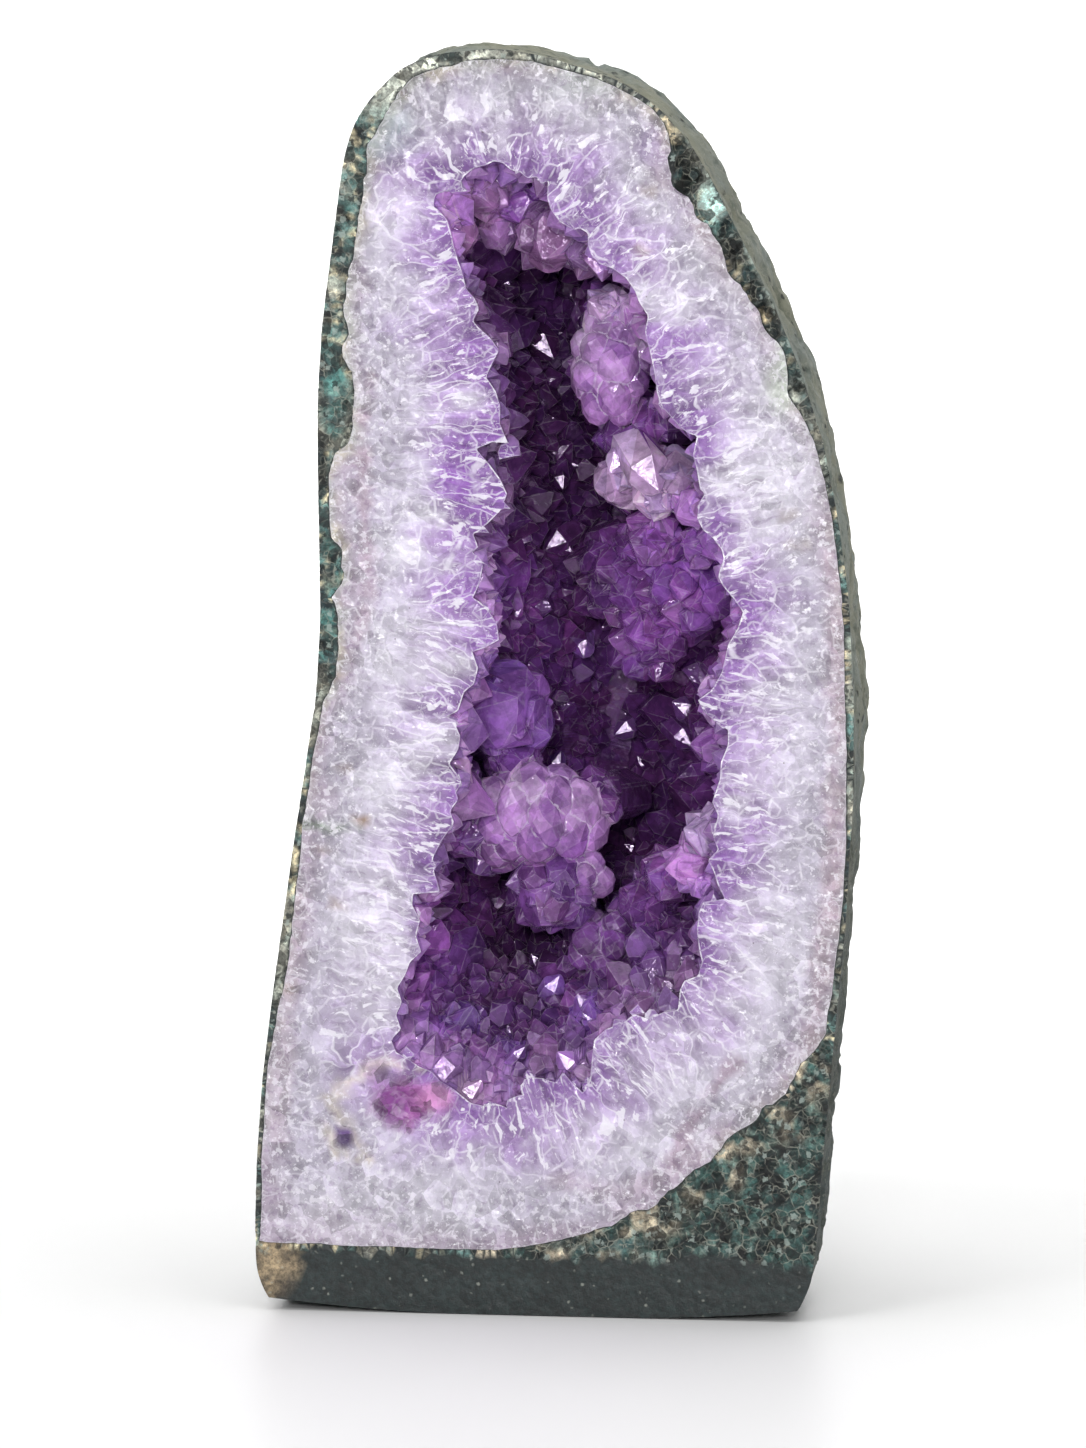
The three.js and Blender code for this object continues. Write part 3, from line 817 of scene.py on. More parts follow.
def ellipsoid(c, radii, count, tone, mid, half):
    """Convex rounded end, as the hull of points spread over an ellipsoid."""
    k = np.arange(count) + 0.5
    ph = np.arccos(1 - 2 * k / count)
    th = k * 2.39996 + rng.uniform(0, 6.28)
    d = np.stack([np.cos(th) * np.sin(ph), np.sin(th) * np.sin(ph), np.cos(ph)], axis=1)
    d += rng.normal(0, 0.035, d.shape)
    d /= np.linalg.norm(d, axis=1)[:, None]
    LOBES.append((np.array(c), np.array(radii, float), tone, rng.uniform(), mid, half))
    return hull_object("e%d" % len(LOBES), np.array(c) + d * np.array(radii))


def lump(px, py, depth, radii, axis, count, share, tone, root):
    """Rounded, scalloped cluster whose front is at px, py: a core and smaller ends that stand out of it."""
    radii = np.array(radii, float)
    c = at(px, py, depth + radii[1])
    axis = np.array(axis, float); axis /= np.linalg.norm(axis)
    R = float(min(radii[0], radii[2]))
    out = [ellipsoid(c, radii, 60, tone, c[2], radii[2])]
    out.append(crystal(c, axis, R * 0.8, 3.0, root, tone, bevel=0))
    for i in range(count):
        k = (i + 0.5) / count
        ph = math.acos(1 - 1.25 * k)                       # front half and a little more
        th = i * 2.39996 + rng.uniform(-0.25, 0.25)
        d = np.array([math.sin(ph) * math.cos(th), -math.cos(ph), math.sin(ph) * math.sin(th)])
        r = R * rng.uniform(*share)
        q = c + d * (radii - r * rng.uniform(0.42, 0.66))
        out.append(ellipsoid(q, (r * rng.uniform(0.85, 1.1), r, r * rng.uniform(0.95, 1.35)), 44, tone, c[2], radii[2]))
    return out


# px, py, depth mm, radii mm, axis, count, share of radius, tone, root length
LUMPS = [
    (612, 364, 8, (9.4, 8.0, 13.6), (-0.35, -0.9, -0.25), 13, (0.46, 0.62), 2, 26),
    (537, 817, 10, (15.4, 9.8, 11.0), (0.2, -0.95, 0.05), 16, (0.44, 0.64), 2, 34),
    (577, 874, 13, (7.4, 6.5, 6.6), (0.3, -0.8, -0.45), 7, (0.48, 0.66), 2, 28),
    (606, 944, 14, (8.6, 7.5, 7.4), (0.1, -0.95, 0.1), 8, (0.46, 0.64), 0, 30),
]

# px, py, depth mm, radius mm, axis, count, share of radius, tone, root length
MOUNDS = [
    (594, 302, 9, 6.0, (-0.5, -0.7, 0.2), 5, (0.42, 0.62), 3, 16),
    (628, 308, 8, 6.0, (-0.3, -0.8, 0.2), 5, (0.42, 0.62), 3, 12),
    (545, 250, 11, 11.5, (-0.1, -0.8, -0.5), 12, (0.34, 0.5), 7, 20, 46.0),
    (575, 255, 10, 8.0, (-0.4, -0.8, -0.3), 7, (0.36, 0.55), 7, 16, 46.0),
    (492, 203, 9, 8.5, (0.35, -0.75, -0.5), 8, (0.38, 0.56), 7, 14, 46.0),
    (466, 240, 7, 7.0, (0.7, -0.6, -0.2), 6, (0.38, 0.56), 7, 12, 46.0),
    (520, 215, 13, 8.0, (0.0, -0.8, -0.6), 7, (0.38, 0.56), 0, 16, 46.0),
    (500, 234, 15, 7.5, (0.15, -0.85, -0.35), 7, (0.36, 0.55), 7, 20, 46.0),
    (692, 830, 8, 8.5, (-0.65, -0.7, 0.2), 7, (0.4, 0.6), 3, 14),
    (664, 474, 9, 8.0, (-0.35, -0.9, 0.15), 3, (0.4, 0.6), 3, 20, 50.0, 80.0, 1.0, 0.85),
    (640, 500, 11, 7.0, (-0.6, -0.75, -0.2), 3, (0.4, 0.6), 3, 20, 50.0, 80.0, 1.0, 0.85),
    (612, 472, 15, 7.0, (-0.3, -0.85, 0.35), 4, (0.4, 0.6), 3, 22, 50.0, 80.0, 1.0, 0.8),
    (682, 512, 8, 6.0, (-0.5, -0.8, -0.3), 3, (0.4, 0.6), 2, 16, 50.0, 80.0, 1.0, 0.85),
    (640, 455, 12, 6.0, (-0.3, -0.8, 0.5), 3, (0.4, 0.6), 7, 20, 50.0, 80.0, 1.0, 0.85),
    (607, 570, 31, 18.0, (-0.3, -0.95, 0.1), 14, (0.2, 0.33), 0, 20, 50.0, 50.0, 1.0, 0.28),
    (672, 582, 24, 22.0, (-0.5, -0.85, 0.0), 18, (0.18, 0.3), 0, 18, 50.0, 48.0, 1.0, 0.26),
    (642, 634, 29, 17.0, (-0.4, -0.9, -0.1), 13, (0.2, 0.33), 0, 20, 50.0, 50.0, 1.0, 0.28),
    (515, 703, 14, 12.5, (0.35, -0.85, 0.3), 9, (0.3, 0.5), 4, 24, 46.0, 84.0, 1.0, 0.88),
    (545, 914, 13, 12.0, (-0.1, -0.75, -0.55), 14, (0.26, 0.42), 0, 26, 44.0),
    (675, 868, 9, 8.0, (-0.7, -0.65, -0.1), 7, (0.38, 0.55), 2, 16),
    (698, 893, 7, 5.5, (-0.5, -0.7, -0.4), 5, (0.4, 0.6), 2, 12),
    (700, 745, 12, 8.0, (-0.8, -0.6, 0.1), 7, (0.36, 0.55), 0, 14),
    (475, 790, 12, 7.0, (0.8, -0.6, 0.1), 6, (0.4, 0.55), 0, 14),
    (478, 835, 14, 7.0, (0.8, -0.6, -0.1), 6, (0.4, 0.55), 0, 14),
    (492, 600, 12, 7.5, (0.85, -0.5, 0.1), 6, (0.38, 0.55), 4, 14),
    (486, 655, 9, 6.0, (0.8, -0.6, 0.1), 5, (0.38, 0.55), 4, 12),
    (470, 1012, 15, 8.0, (0.35, -0.75, 0.55), 9, (0.28, 0.42), 4, 16),
    (508, 1046, 11, 7.5, (0.2, -0.75, 0.65), 9, (0.28, 0.42), 4, 14),
    (522, 990, 22, 8.5, (0.1, -0.85, 0.5), 8, (0.3, 0.45), 0, 18),
    (590, 1006, 11, 7.0, (-0.1, -0.85, 0.5), 7, (0.34, 0.5), 4, 16),
    (628, 992, 7, 6.0, (-0.25, -0.85, 0.45), 6, (0.34, 0.5), 2, 12),
    (660, 998, 5, 5.0, (-0.4, -0.85, 0.35), 5, (0.36, 0.55), 3, 10),
    (735, 615, 5, 4.5, (-0.7, -0.7, 0.0), 4, (0.36, 0.55), 2, 10),
    (505, 845, 17, 9.5, (0.4, -0.85, 0.0), 8, (0.4, 0.55), 0, 22),
    (590, 800, 19, 9.0, (-0.2, -0.95, 0.1), 8, (0.36, 0.55), 0, 22),
    (520, 760, 17, 9.0, (0.3, -0.9, 0.1), 8, (0.36, 0.55), 0, 22),
    (560, 905, 16, 8.0, (0.1, -0.9, -0.2), 7, (0.36, 0.55), 0, 22),
    (635, 905, 16, 9.0, (-0.2, -0.95, 0.1), 8, (0.36, 0.55), 0, 22),
    (655, 875, 15, 9.0, (-0.4, -0.85, 0.1), 8, (0.36, 0.55), 0, 20),
    (580, 372, 17, 8.0, (-0.5, -0.85, 0.0), 7, (0.38, 0.55), 0, 22),
    (640, 425, 14, 8.0, (-0.5, -0.8, 0.0), 7, (0.38, 0.55), 0, 18),
    (612, 435, 17, 8.0, (-0.4, -0.9, -0.1), 7, (0.38, 0.55), 0, 22),
    (600, 300, 16, 8.0, (-0.4, -0.8, 0.3), 6, (0.38, 0.55), 0, 20),
    (640, 540, 20, 10.0, (-0.5, -0.85, 0.0), 9, (0.34, 0.5), 0, 20),
    (690, 545, 13, 7.0, (-0.6, -0.8, 0.0), 6, (0.38, 0.55), 0, 16),
    (705, 690, 8, 6.0, (-0.8, -0.6, 0.0), 5, (0.36, 0.55), 1, 12),
]

lining, rock = build()


# ------------------------------------------------------------------ colours that belong to places on the stone
def lin(r, g, b):
    return np.array([((c / 255 + 0.055) / 1.055) ** 2.4 if c > 10 else c / 255 / 12.92 for c in (r, g, b)])


def mixc(a, b, t):
    t = np.clip(t, 0, 1)[:, None]
    return a * (1 - t) + b * t


def spot(q, px, py, rx, rz, soft=0.6, wob=0.35, seed=0):
    """Soft irregular patch round a place of the photograph's frame; half-widths in mm."""
    c = at(px, py)
    e = np.hypot((q[:, 0] - c[0]) / rx, (q[:, 1] - c[2]) / rz)
    e = e + wob * noise(flat3(q), 4.5, 71 + seed, 2)
    return 1 - step_(1 - soft * 0.5, 1 + soft * 0.5, e)


def band(q, pts, half, wob=0.5, seed=0):
    """Soft patch along a line of places of the photograph's frame."""
    line = resample(at_many(pts), step=0.8, closed=False)
    d, _ = nearest(line, q)
    d = d + wob * half * noise(flat3(q), 5, 91 + seed, 2)
    return 1 - step_(half * 0.5, half * 1.3, d)


def face_tint(q):
    """Colour of the polished quartz at (x, z)."""
    d, i = nearest(mouth, q)
    D, _ = nearest(lining_rough, q)
    p3 = flat3(q)
    _, i = nearest(mouth_soft, q)
    flow = np.stack([i * 0.8, d, np.zeros(len(q))], axis=1)
    t = d / (d + D + 1e-6)
    white = lin(193, 185, 205)
    lav = lin(178, 160, 196)
    lilac = lin(160, 126, 184)
    purple = lin(124, 80, 154)
    mauve = lin(168, 152, 170)
    grey = lin(168, 164, 175)
    streak = noise(flow * np.array([1 / 3.2, 1 / 13.0, 1]), 1.0, 5, 3)
    patch = noise(p3, 16, 6, 2)
    c = mixc(np.tile(lav, (len(q), 1)), white, step_(0.12, 0.55, t + 0.25 * streak + 0.15 * patch))
    c = mixc(c, grey, 0.55 * step_(0.45, 0.9, t + 0.2 * patch) )
    c = mixc(c, mauve, 0.8 * step_(0.78, 0.97, t + 0.12 * noise(p3, 9, 8, 2)))
    deepen = step_(19, 2.0, d + 7.0 * streak + 6.0 * noise(p3, 8, 10))
    c = mixc(c, lilac, 0.8 * deepen)
    c = mixc(c, purple, 0.85 * step_(7.5, 0.2, d + 3.6 * streak + 4.0 * noise(p3, 5, 12)))
    # patches and veins that the face shows
    for px, py, rx, rz, k in ((478, 152, 4.5, 5, 0.8), (470, 500, 7, 5.5, 0.7), (482, 470, 9, 12, 0.9), (470, 440, 7, 6, 0.7), (465, 365, 8, 4.5, 0.6), (455, 600, 8, 4, 0.6), (585, 215, 3.0, 5.0, 0.6), (660, 145, 6, 5, 0.35),
                              (480, 410, 5, 5, 0.55), (690, 190, 6, 6, 0.3), (740, 612, 6.0, 4.2, 0.75), (765, 618, 5, 3, 0.5), (715, 700, 5, 7, 0.5), (740, 870, 6, 6, 0.45), (720, 930, 4, 8, 0.5),
                              (460, 795, 4, 5, 0.55), (430, 875, 4, 6, 0.35), (412, 1010, 4, 16, 0.15), (600, 1050, 8, 8, 0.3), (705, 455, 5, 6, 0.45), (725, 520, 7, 4, 0.4), (640, 1005, 9, 4, 0.5),
                              (430, 700, 6, 5, 0.5), (410, 330, 9, 4, 0.3), (440, 265, 8, 3.5, 0.5), (600, 190, 5, 12, 0.25), (473, 480, 8, 12, 0.9), (690, 340, 9, 11, 0.36)):
        c = mixc(c, lin(136, 88, 168), k * spot(q, px, py, rx, rz, 1.3))
    # whiter patches of the quartz; the ones at 470,400, 400,550 and 458,665 are painted highlights
    for px, py, rx, rz, k in ((470, 400, 4.5, 3.2, 0.85), (430, 515, 5.5, 1.8, 0.85), (400, 550, 6, 2.8, 0.9), (458, 665, 4.5, 3.6, 0.85), (435, 740, 7, 6.5, 0.8), (385, 785, 9, 6, 0.7), (620, 290, 8, 3, 0.7),
                              (670, 305, 8, 4.5, 0.8), (690, 1060, 15, 12, 0.45), (380, 1000, 12, 10, 0.3), (500, 145, 3, 3, 0.6), (395, 210, 9, 6, 0.6), (735, 480, 12, 4, 0.6), (735, 810, 4, 4, 0.7),
                              (378, 935, 10, 24, 0.85), (390, 1205, 26, 9, 0.6), (770, 950, 11, 16, 0.6), (770, 760, 10, 14, 0.35), (630, 1140, 18, 7, 0.55),
                              (770, 485, 11, 13, 0.7), (408, 652, 10, 14, 0.55), (530, 112, 20, 6, 0.3)):
        c = mixc(c, lin(228, 224, 236), 0.8 * k * spot(q, px, py, rx, rz, 0.9))
    # weathered border on the upper left and along the top
    side = step_(3.4, 0.4, D + 1.6 * noise(p3, 4, 16, 2)) * np.where((q[:, 0] < 0) & (q[:, 1] > 150), 1.0, np.where(q[:, 1] > 285, 0.8, 0.35))
    c = mixc(c, mixc_rows(np.tile(lin(170, 172, 166), (len(q), 1)), lin(196, 188, 168), step_(-0.1, 0.3, noise(p3, 3.5, 17, 2))), 0.8 * side * (q[:, 1] > 40))
    c = mixc(c, lin(160, 136, 156), 0.75 * band(q, [(737, 1062), (722, 1075), (705, 1100), (690, 1125), (678, 1150), (672, 1165)], 1.7, 0.6, 1))
    c = mixc(c, lin(186, 168, 184), 0.5 * band(q, [(560, 1180), (600, 1190), (640, 1185), (690, 1160)], 3.5, 0.8, 2))
    c = mixc(c, lin(176, 152, 168), 0.6 * band(q, [(372, 380), (362, 440), (366, 520), (372, 590), (360, 640)], 1.5, 0.9, 3))
    c = mixc(c, lin(190, 176, 188), 0.55 * band(q, [(300, 900), (290, 980), (285, 1060), (280, 1140)], 2.4, 0.8, 4))
    c = mixc(c, lin(178, 158, 170), 0.6 * band(q, [(835, 560), (838, 700), (832, 800), (828, 900), (822, 980), (812, 1040)], 2.4, 0.9, 5))
    c = mixc(c, lin(206, 196, 172), 0.55 * band(q, [(325, 1130), (338, 1155), (370, 1160), (330, 1100), (352, 1080), (390, 1062), (420, 1070)], 1.4, 0.9, 6))
    c = mixc(c, lin(158, 92, 158), 0.95 * spot(q, 402, 1104, 7.4, 5.6, 0.5))
    c = mixc(c, lin(112, 42, 122), 0.9 * spot(q, 392, 1108, 4.0, 5.2, 0.8))
    c = mixc(c, lin(204, 140, 190), 0.75 * spot(q, 434, 1100, 4.6, 3.4, 0.7))
    c = mixc(c, lin(96, 62, 128), 0.95 * spot(q, 345, 1137, 2.8, 2.6, 0.5))
    c = mixc(c, lin(150, 118, 160), 0.7 * spot(q, 376, 1076, 3.0, 2.6, 0.8))
    c = mixc(c, lin(138, 150, 138), 0.85 * band(q, [(296, 826), (315, 822), (335, 830), (358, 826)], 1.3, 0.6, 7))
    c = mixc(c, lin(140, 112, 78), 0.85 * spot(q, 360, 823, 2.4, 1.4, 0.8))
    c = mixc(c, lin(196, 206, 192), 0.75 * spot(q, 785, 385, 4.5, 6.5, 0.9))
    c = mixc(c, lin(206, 214, 204), 0.7 * spot(q, 790, 350, 3, 4, 0.9))
    c = mixc(c, lin(176, 190, 196), 0.6 * spot(q, 385, 130, 7, 7, 1.0))
    c = mixc(c, lin(200, 206, 206), 0.6 * spot(q, 590, 82, 9, 4, 1.0))
    c = mixc(c, lin(92, 104, 112), 0.6 * spot(q, 775, 1118, 8, 2.4, 1.0))
    c = mixc(c, lin(190, 184, 160), 0.6 * spot(q, 352, 215, 3, 8, 1.0))
    for px, py in ((335, 675), (345, 770), (325, 850), (338, 905), (290, 990), (640, 250), (650, 190), (788, 515), (800, 545)):
        c = mixc(c, lin(168, 148, 140), 0.6 * spot(q, px, py, 2.0, 1.4, 1.0))
    c = c * (1 - 0.16 * step_(268, 292, q[:, 1]))[:, None]
    over = np.ones(len(q))
    for px, py, rx, rz in ((400, 1105, 8, 6.5), (432, 1098, 6, 5), (345, 1137, 4, 4), (360, 823, 3, 2), (376, 1076, 4, 4)):
        over *= 1 - 0.85 * spot(q, px, py, rx, rz, 0.6)
    return np.clip(c * (1 + 0.07 * noise(p3, 3.0, 14, 2))[:, None], 0, 0.95), flow, over


def rock_tint(q, y):
    """Colour of the sawn rock at (x, z)."""
    zn = zones(q)
    p3 = flat3(q)
    n = len(q)
    slate = lin(21, 32, 32)
    c = np.tile(slate, (n, 1))
    # granular green zone
    g = noise(p3, 2.2, 21, 3)
    green = mixc(np.tile(lin(50, 78, 74), (n, 1)), lin(12, 22, 24), step_(-0.25, 0.3, g))
    green = mixc(green, lin(104, 126, 118), step_(0.35, 0.7, noise(p3, 1.7, 22, 2)))
    dl, _ = nearest(lining_rough, q)
    halo = step_(11.0, 1.0, dl + 5.0 * noise(p3, 4.5, 23, 2))
    beige = mixc(np.tile(lin(196, 184, 160), (n, 1)), lin(150, 138, 120), step_(-0.3, 0.4, noise(p3, 2.4, 24, 2)))
    green = mixc(green, beige, halo * step_(0.0, 0.32, noise(p3, 3.0, 25, 2) + 0.12))
    green = mixc(green, lin(36, 66, 68), 0.8 * spot(q, 590, 1243, 16, 2.0, 0.8))
    c = np.where(zn["celadon"][:, None], green, c)
    # rind: dark teal cells with pale beige lines, greyer to the top
    cellv = noise(p3, 2.6, 26, 2)
    teal = mixc(np.tile(lin(88, 118, 114), (n, 1)), lin(20, 32, 36), step_(-0.2, 0.3, cellv))
    line = step_(0.18, 0.05, np.abs(noise(p3, 3.6, 27, 1)))
    rind = mixc(teal, lin(214, 202, 168), 0.9 * line)
    pale = step_(0.05, 0.4, noise(p3, 9, 28, 2) + 0.1)
    rind = mixc(rind, lin(160, 160, 148), 0.75 * pale)
    rind = mixc(rind, lin(204, 206, 194), 0.75 * step_(288, 300, q[:, 1]))
    rind = mixc(rind, lin(44, 80, 82), 0.85 * spot(q, 448, 55, 3.2, 1.6, 0.7))
    for px, py, rx, rz in ((334, 400, 3.6, 8.5), (330, 545, 2.6, 3.6), (331, 580, 2.8, 4.4), (330, 618, 2.4, 4.6), (329, 660, 2.4, 5.2), (352, 118, 3.0, 3.0), (343, 205, 1.6, 4.0)):
        rind = mixc(rind, mixc_rows(np.tile(lin(62, 104, 100), (n, 1)), lin(26, 46, 50), step_(-0.2, 0.3, cellv)), 0.9 * spot(q, px, py, rx, rz, 0.6))
    # near-black spots: painted shade in the open pits of the rind, and a dark streak by the lining
    for px, py, rx, rz in ((322, 470, 1.5, 8), (680, 150, 2.6, 3.2), (688, 180, 3.4, 4.0), (735, 248, 4.2, 5.0), (758, 290, 4.4, 6.5), (770, 325, 3.2, 4.0), (797, 375, 2.8, 5.0), (808, 400, 2.4, 4.0)):
        rind = mixc(rind, mixc_rows(np.tile(lin(14, 22, 24), (n, 1)), lin(60, 76, 74), step_(0.1, 0.5, cellv)), 0.95 * spot(q, px, py, rx, rz, 0.6))
    for pts in ([(655, 102), (668, 125), (674, 140)], [(725, 262), (736, 282), (750, 306), (765, 318)], [(838, 590), (843, 640), (846, 680)]):
        rind = mixc(rind, lin(222, 204, 168), 0.85 * band(q, pts, 0.9, 0.5, 8))
    rind = mixc(rind, lin(168, 196, 190), 0.95 * spot(q, 714, 203, 4.2, 4.2, 0.4))
    c = np.where(zn["rind"][:, None], rind, c)
    # the rough outside: pale grey-green, darker low down
    low = step_(170, 60, q[:, 1] + 30 * noise(p3, 30, 33, 2))
    outer = mixc_rows(np.tile(lin(140, 149, 142), (n, 1)), lin(76, 87, 85), low)
    out = (~zn["face"]) | (zn["d_out"] < 0.9) | (y - FACE_Y > 3.6)
    c = mixc_rows(c, outer, step_(0.5, 1.6, y - FACE_Y) * (q[:, 1] > 0.4) * out)
    # base band: the brown chip at its left end (its paler specks come from the material)
    brown = mixc(np.tile(lin(150, 132, 104), (n, 1)), lin(84, 74, 60), step_(-0.2, 0.4, noise(p3, 2.2, 29, 2)))
    c = mixc_rows(c, brown, 0.95 * spot(q, 276, 1268, 5.6, 7.0, 0.4) * step_(13.0, 7.0, y - FACE_Y + 3.0 * noise(p3, 6, 34)))
    return c


def mixc_rows(a, b, t):
    t = np.clip(t, 0, 1)[:, None]
    return a * (1 - t) + b * t


# painted shade and painted light in the hollow, factors below one darken and above one lighten the crystals' colour:
# px, py, half-widths mm, factor
PAINTED_SHADE_AND_LIGHT = [(530, 450, 13, 26, 0.55), (505, 300, 8, 10, 0.6), (655, 600, 17, 18, 1.5), (620, 780, 12, 18, 0.75), (478, 870, 9, 10, 0.6), (470, 215, 11, 10, 1.5),
          (575, 600, 7, 9, 0.6), (680, 945, 8, 9, 0.7), (490, 600, 8, 12, 1.3), (500, 700, 12, 14, 1.15), (525, 962, 16, 4, 0.5), (480, 1010, 14, 14, 0.62), (640, 990, 14, 9, 0.6), (555, 925, 18, 10, 0.68), (550, 1050, 10, 8, 0.7), (425, 990, 6, 22, 1.45), (655, 600, 8, 8, 0.85), (600, 930, 14, 12, 0.85)]
TONES = np.array([
    lin(150, 96, 174),     # 0 purple of the walls
    lin(204, 168, 220),    # 1 pale lilac just under the edge
    lin(208, 154, 228),    # 2 lit clusters
    lin(214, 184, 226),    # 3 pale clusters
    lin(156, 108, 192),    # 4 greyish purple
    lin(206, 214, 190),    # 5 yellow-green spark
    lin(150, 196, 226),    # 6 blue spark
    lin(160, 120, 168),    # 7 mauve shelf at the top
])


def crystal_tint(P, Nf):
    """Colour of the crystal faces with centres P: each point has its own tone, deeper at its tip."""
    tips = np.array([c[0] for c in CRYSTALS]); axes = np.array([c[1] for c in CRYSTALS])
    rad = np.array([c[2] for c in CRYSTALS]); tone = np.array([c[3] for c in CRYSTALS]); rnd = np.array([c[4] for c in CRYSTALS])
    tree = kdtree.KDTree(len(tips))
    for i, t in enumerate(tips - axes * rad[:, None] * 0.5):
        tree.insert(t, i)
    tree.balance()
    near = np.array([[h[1] for h in tree.find_n(p, 12)] for p in P])
    v = P[:, None] - tips[near]
    ax = axes[near]
    along = (v * ax).sum(2)
    perp = np.sqrt(np.maximum((v ** 2).sum(2) - along ** 2, 0))
    apex = np.maximum(0, -along)
    rr = rad[near]
    score = np.abs(perp - np.minimum(rr, apex * 1.25)) + np.where(along > 0.3, along * 3, 0) + np.where(apex > rr * 3.5, 3, 0)
    pick = score.argmin(1)
    rows = np.arange(len(P))
    j = near[rows, pick]
    a = apex[rows, pick] / (rad[j] * 2.2)
    base = TONES[tone[j]].copy()
    depth = P[:, 1] - FACE_Y
    q = P[:, [0, 2]]
    # the wall's colour: darker further in, a painted shade of the deep hollow, and paler by the edge
    wall = tone[j] == 0
    deep = step_(8, 40, depth) * wall
    base = base * (1 - deep)[:, None] + lin(124, 70, 142) * deep[:, None]
    w = step_(12, 2, depth) * 0.55 * wall
    base = base * (1 - w)[:, None] + TONES[1] * w[:, None]
    base *= (0.8 + 0.42 * rnd[j])[:, None]
    hue = (rnd[j] * 7.3) % 1 - 0.5
    base *= 1 + hue[:, None] * np.array([0.16, 0.02, -0.08])
    lit = np.isin(tone[j], (2, 3, 7))
    base *= (1 + np.where(tone[j] == 3, 0.42, np.where(lit, 0.14, 0.2)) * noise(Nf * 10 + rnd[j][:, None] * 400, 9.0, 15))[:, None]
    # painted shade and painted light: darker and lighter parts of the hollow
    k = np.ones(len(P))
    for px, py, rx, rz, f in PAINTED_SHADE_AND_LIGHT:
        k *= 1 + (f - 1) * spot(q, px, py, rx, rz, 1.2, 0.3)
    base *= k[:, None]
    tipd = step_(1.1, 0.0, a)
    base *= 1 - 0.22 * tipd[:, None] * np.array([0.7, 1.0, 0.45])
    # rounded clusters: one soft colour, made paler at the top and along the outline of each lobe by painted light
    rounded = np.zeros(len(P))
    best = np.full(len(P), 0.6)
    for c, radii, tn, own, mid, half in LOBES:
        v = (P - c) / radii
        e = np.abs(np.linalg.norm(v, axis=1) - 1) * radii.mean()
        m = e < best
        if not m.any():
            continue
        best[m] = e[m]
        rounded[m] = 1.0 if tn == 2 else 0.4
        # painted light: paler towards the top of the cluster
        up = np.clip((P[m, 2] - mid) / half, -1.2, 1.2)
        col = TONES[tn] * (0.84 + 0.30 * own) * (1 + np.outer(up, [0.10, 0.22, 0.08]))
        g = noise(P[m], 5.5, 18, 2)
        col = mixc_rows(col, lin(140, 76, 174) * (0.8 + 0.3 * own), 0.6 * step_(-0.05, 0.35, g))
        # painted highlights: whitish patches on the upper part only
        col = mixc_rows(col, lin(222, 200, 234), 0.5 * step_(-0.05, -0.4, g) * step_(-0.5, 0.5, up))
        # painted light: each lobe paler where it turns away from the front, along its outline
        rim = step_(0.75, 0.15, -v[m, 1])
        col = col * (0.84 + 0.40 * rim[:, None] * np.array([0.9, 1.15, 0.75]))
        base[m] = col * np.sqrt(k[m])[:, None] * (1 + 0.3 * noise(Nf[m] * 10 + own * 400, 9.0, 15))[:, None]
    return np.clip(base, 0.004, 0.92), rounded


def corner_colours(me, name, per_vertex=None, per_face=None, face_mask=None, alpha=None, face_alpha=None):
    """Writes a corner colour layer from colours by vertex where the mask holds and by face elsewhere."""
    n = len(me.loops)
    lv = np.empty(n, np.int32); me.loops.foreach_get("vertex_index", lv)
    lt = np.empty(len(me.polygons), np.int32); me.polygons.foreach_get("loop_total", lt)
    lf = np.repeat(np.arange(len(me.polygons)), lt)
    col = np.ones((n, 4))
    if per_vertex is not None:
        col[:, :3] = per_vertex[lv]
    if per_face is not None:
        m = ~face_mask[lf] if face_mask is not None else np.ones(n, bool)
        col[m, :3] = per_face[lf[m]]
    if alpha is not None:
        col[:, 3] = alpha[lv]
    if face_alpha is not None:
        m = ~face_mask[lf]
        col[m, 3] = face_alpha[lf[m]]
    a = me.color_attributes.new(name, "FLOAT_COLOR", "CORNER")
    a.data.foreach_set("color", col.ravel())


def triangulate(o):
    bm = bmesh.new()
    bm.from_mesh(o.data)
    bmesh.ops.triangulate(bm, faces=bm.faces[:])
    bm.to_mesh(o.data)
    bm.free()
    o.data.update()


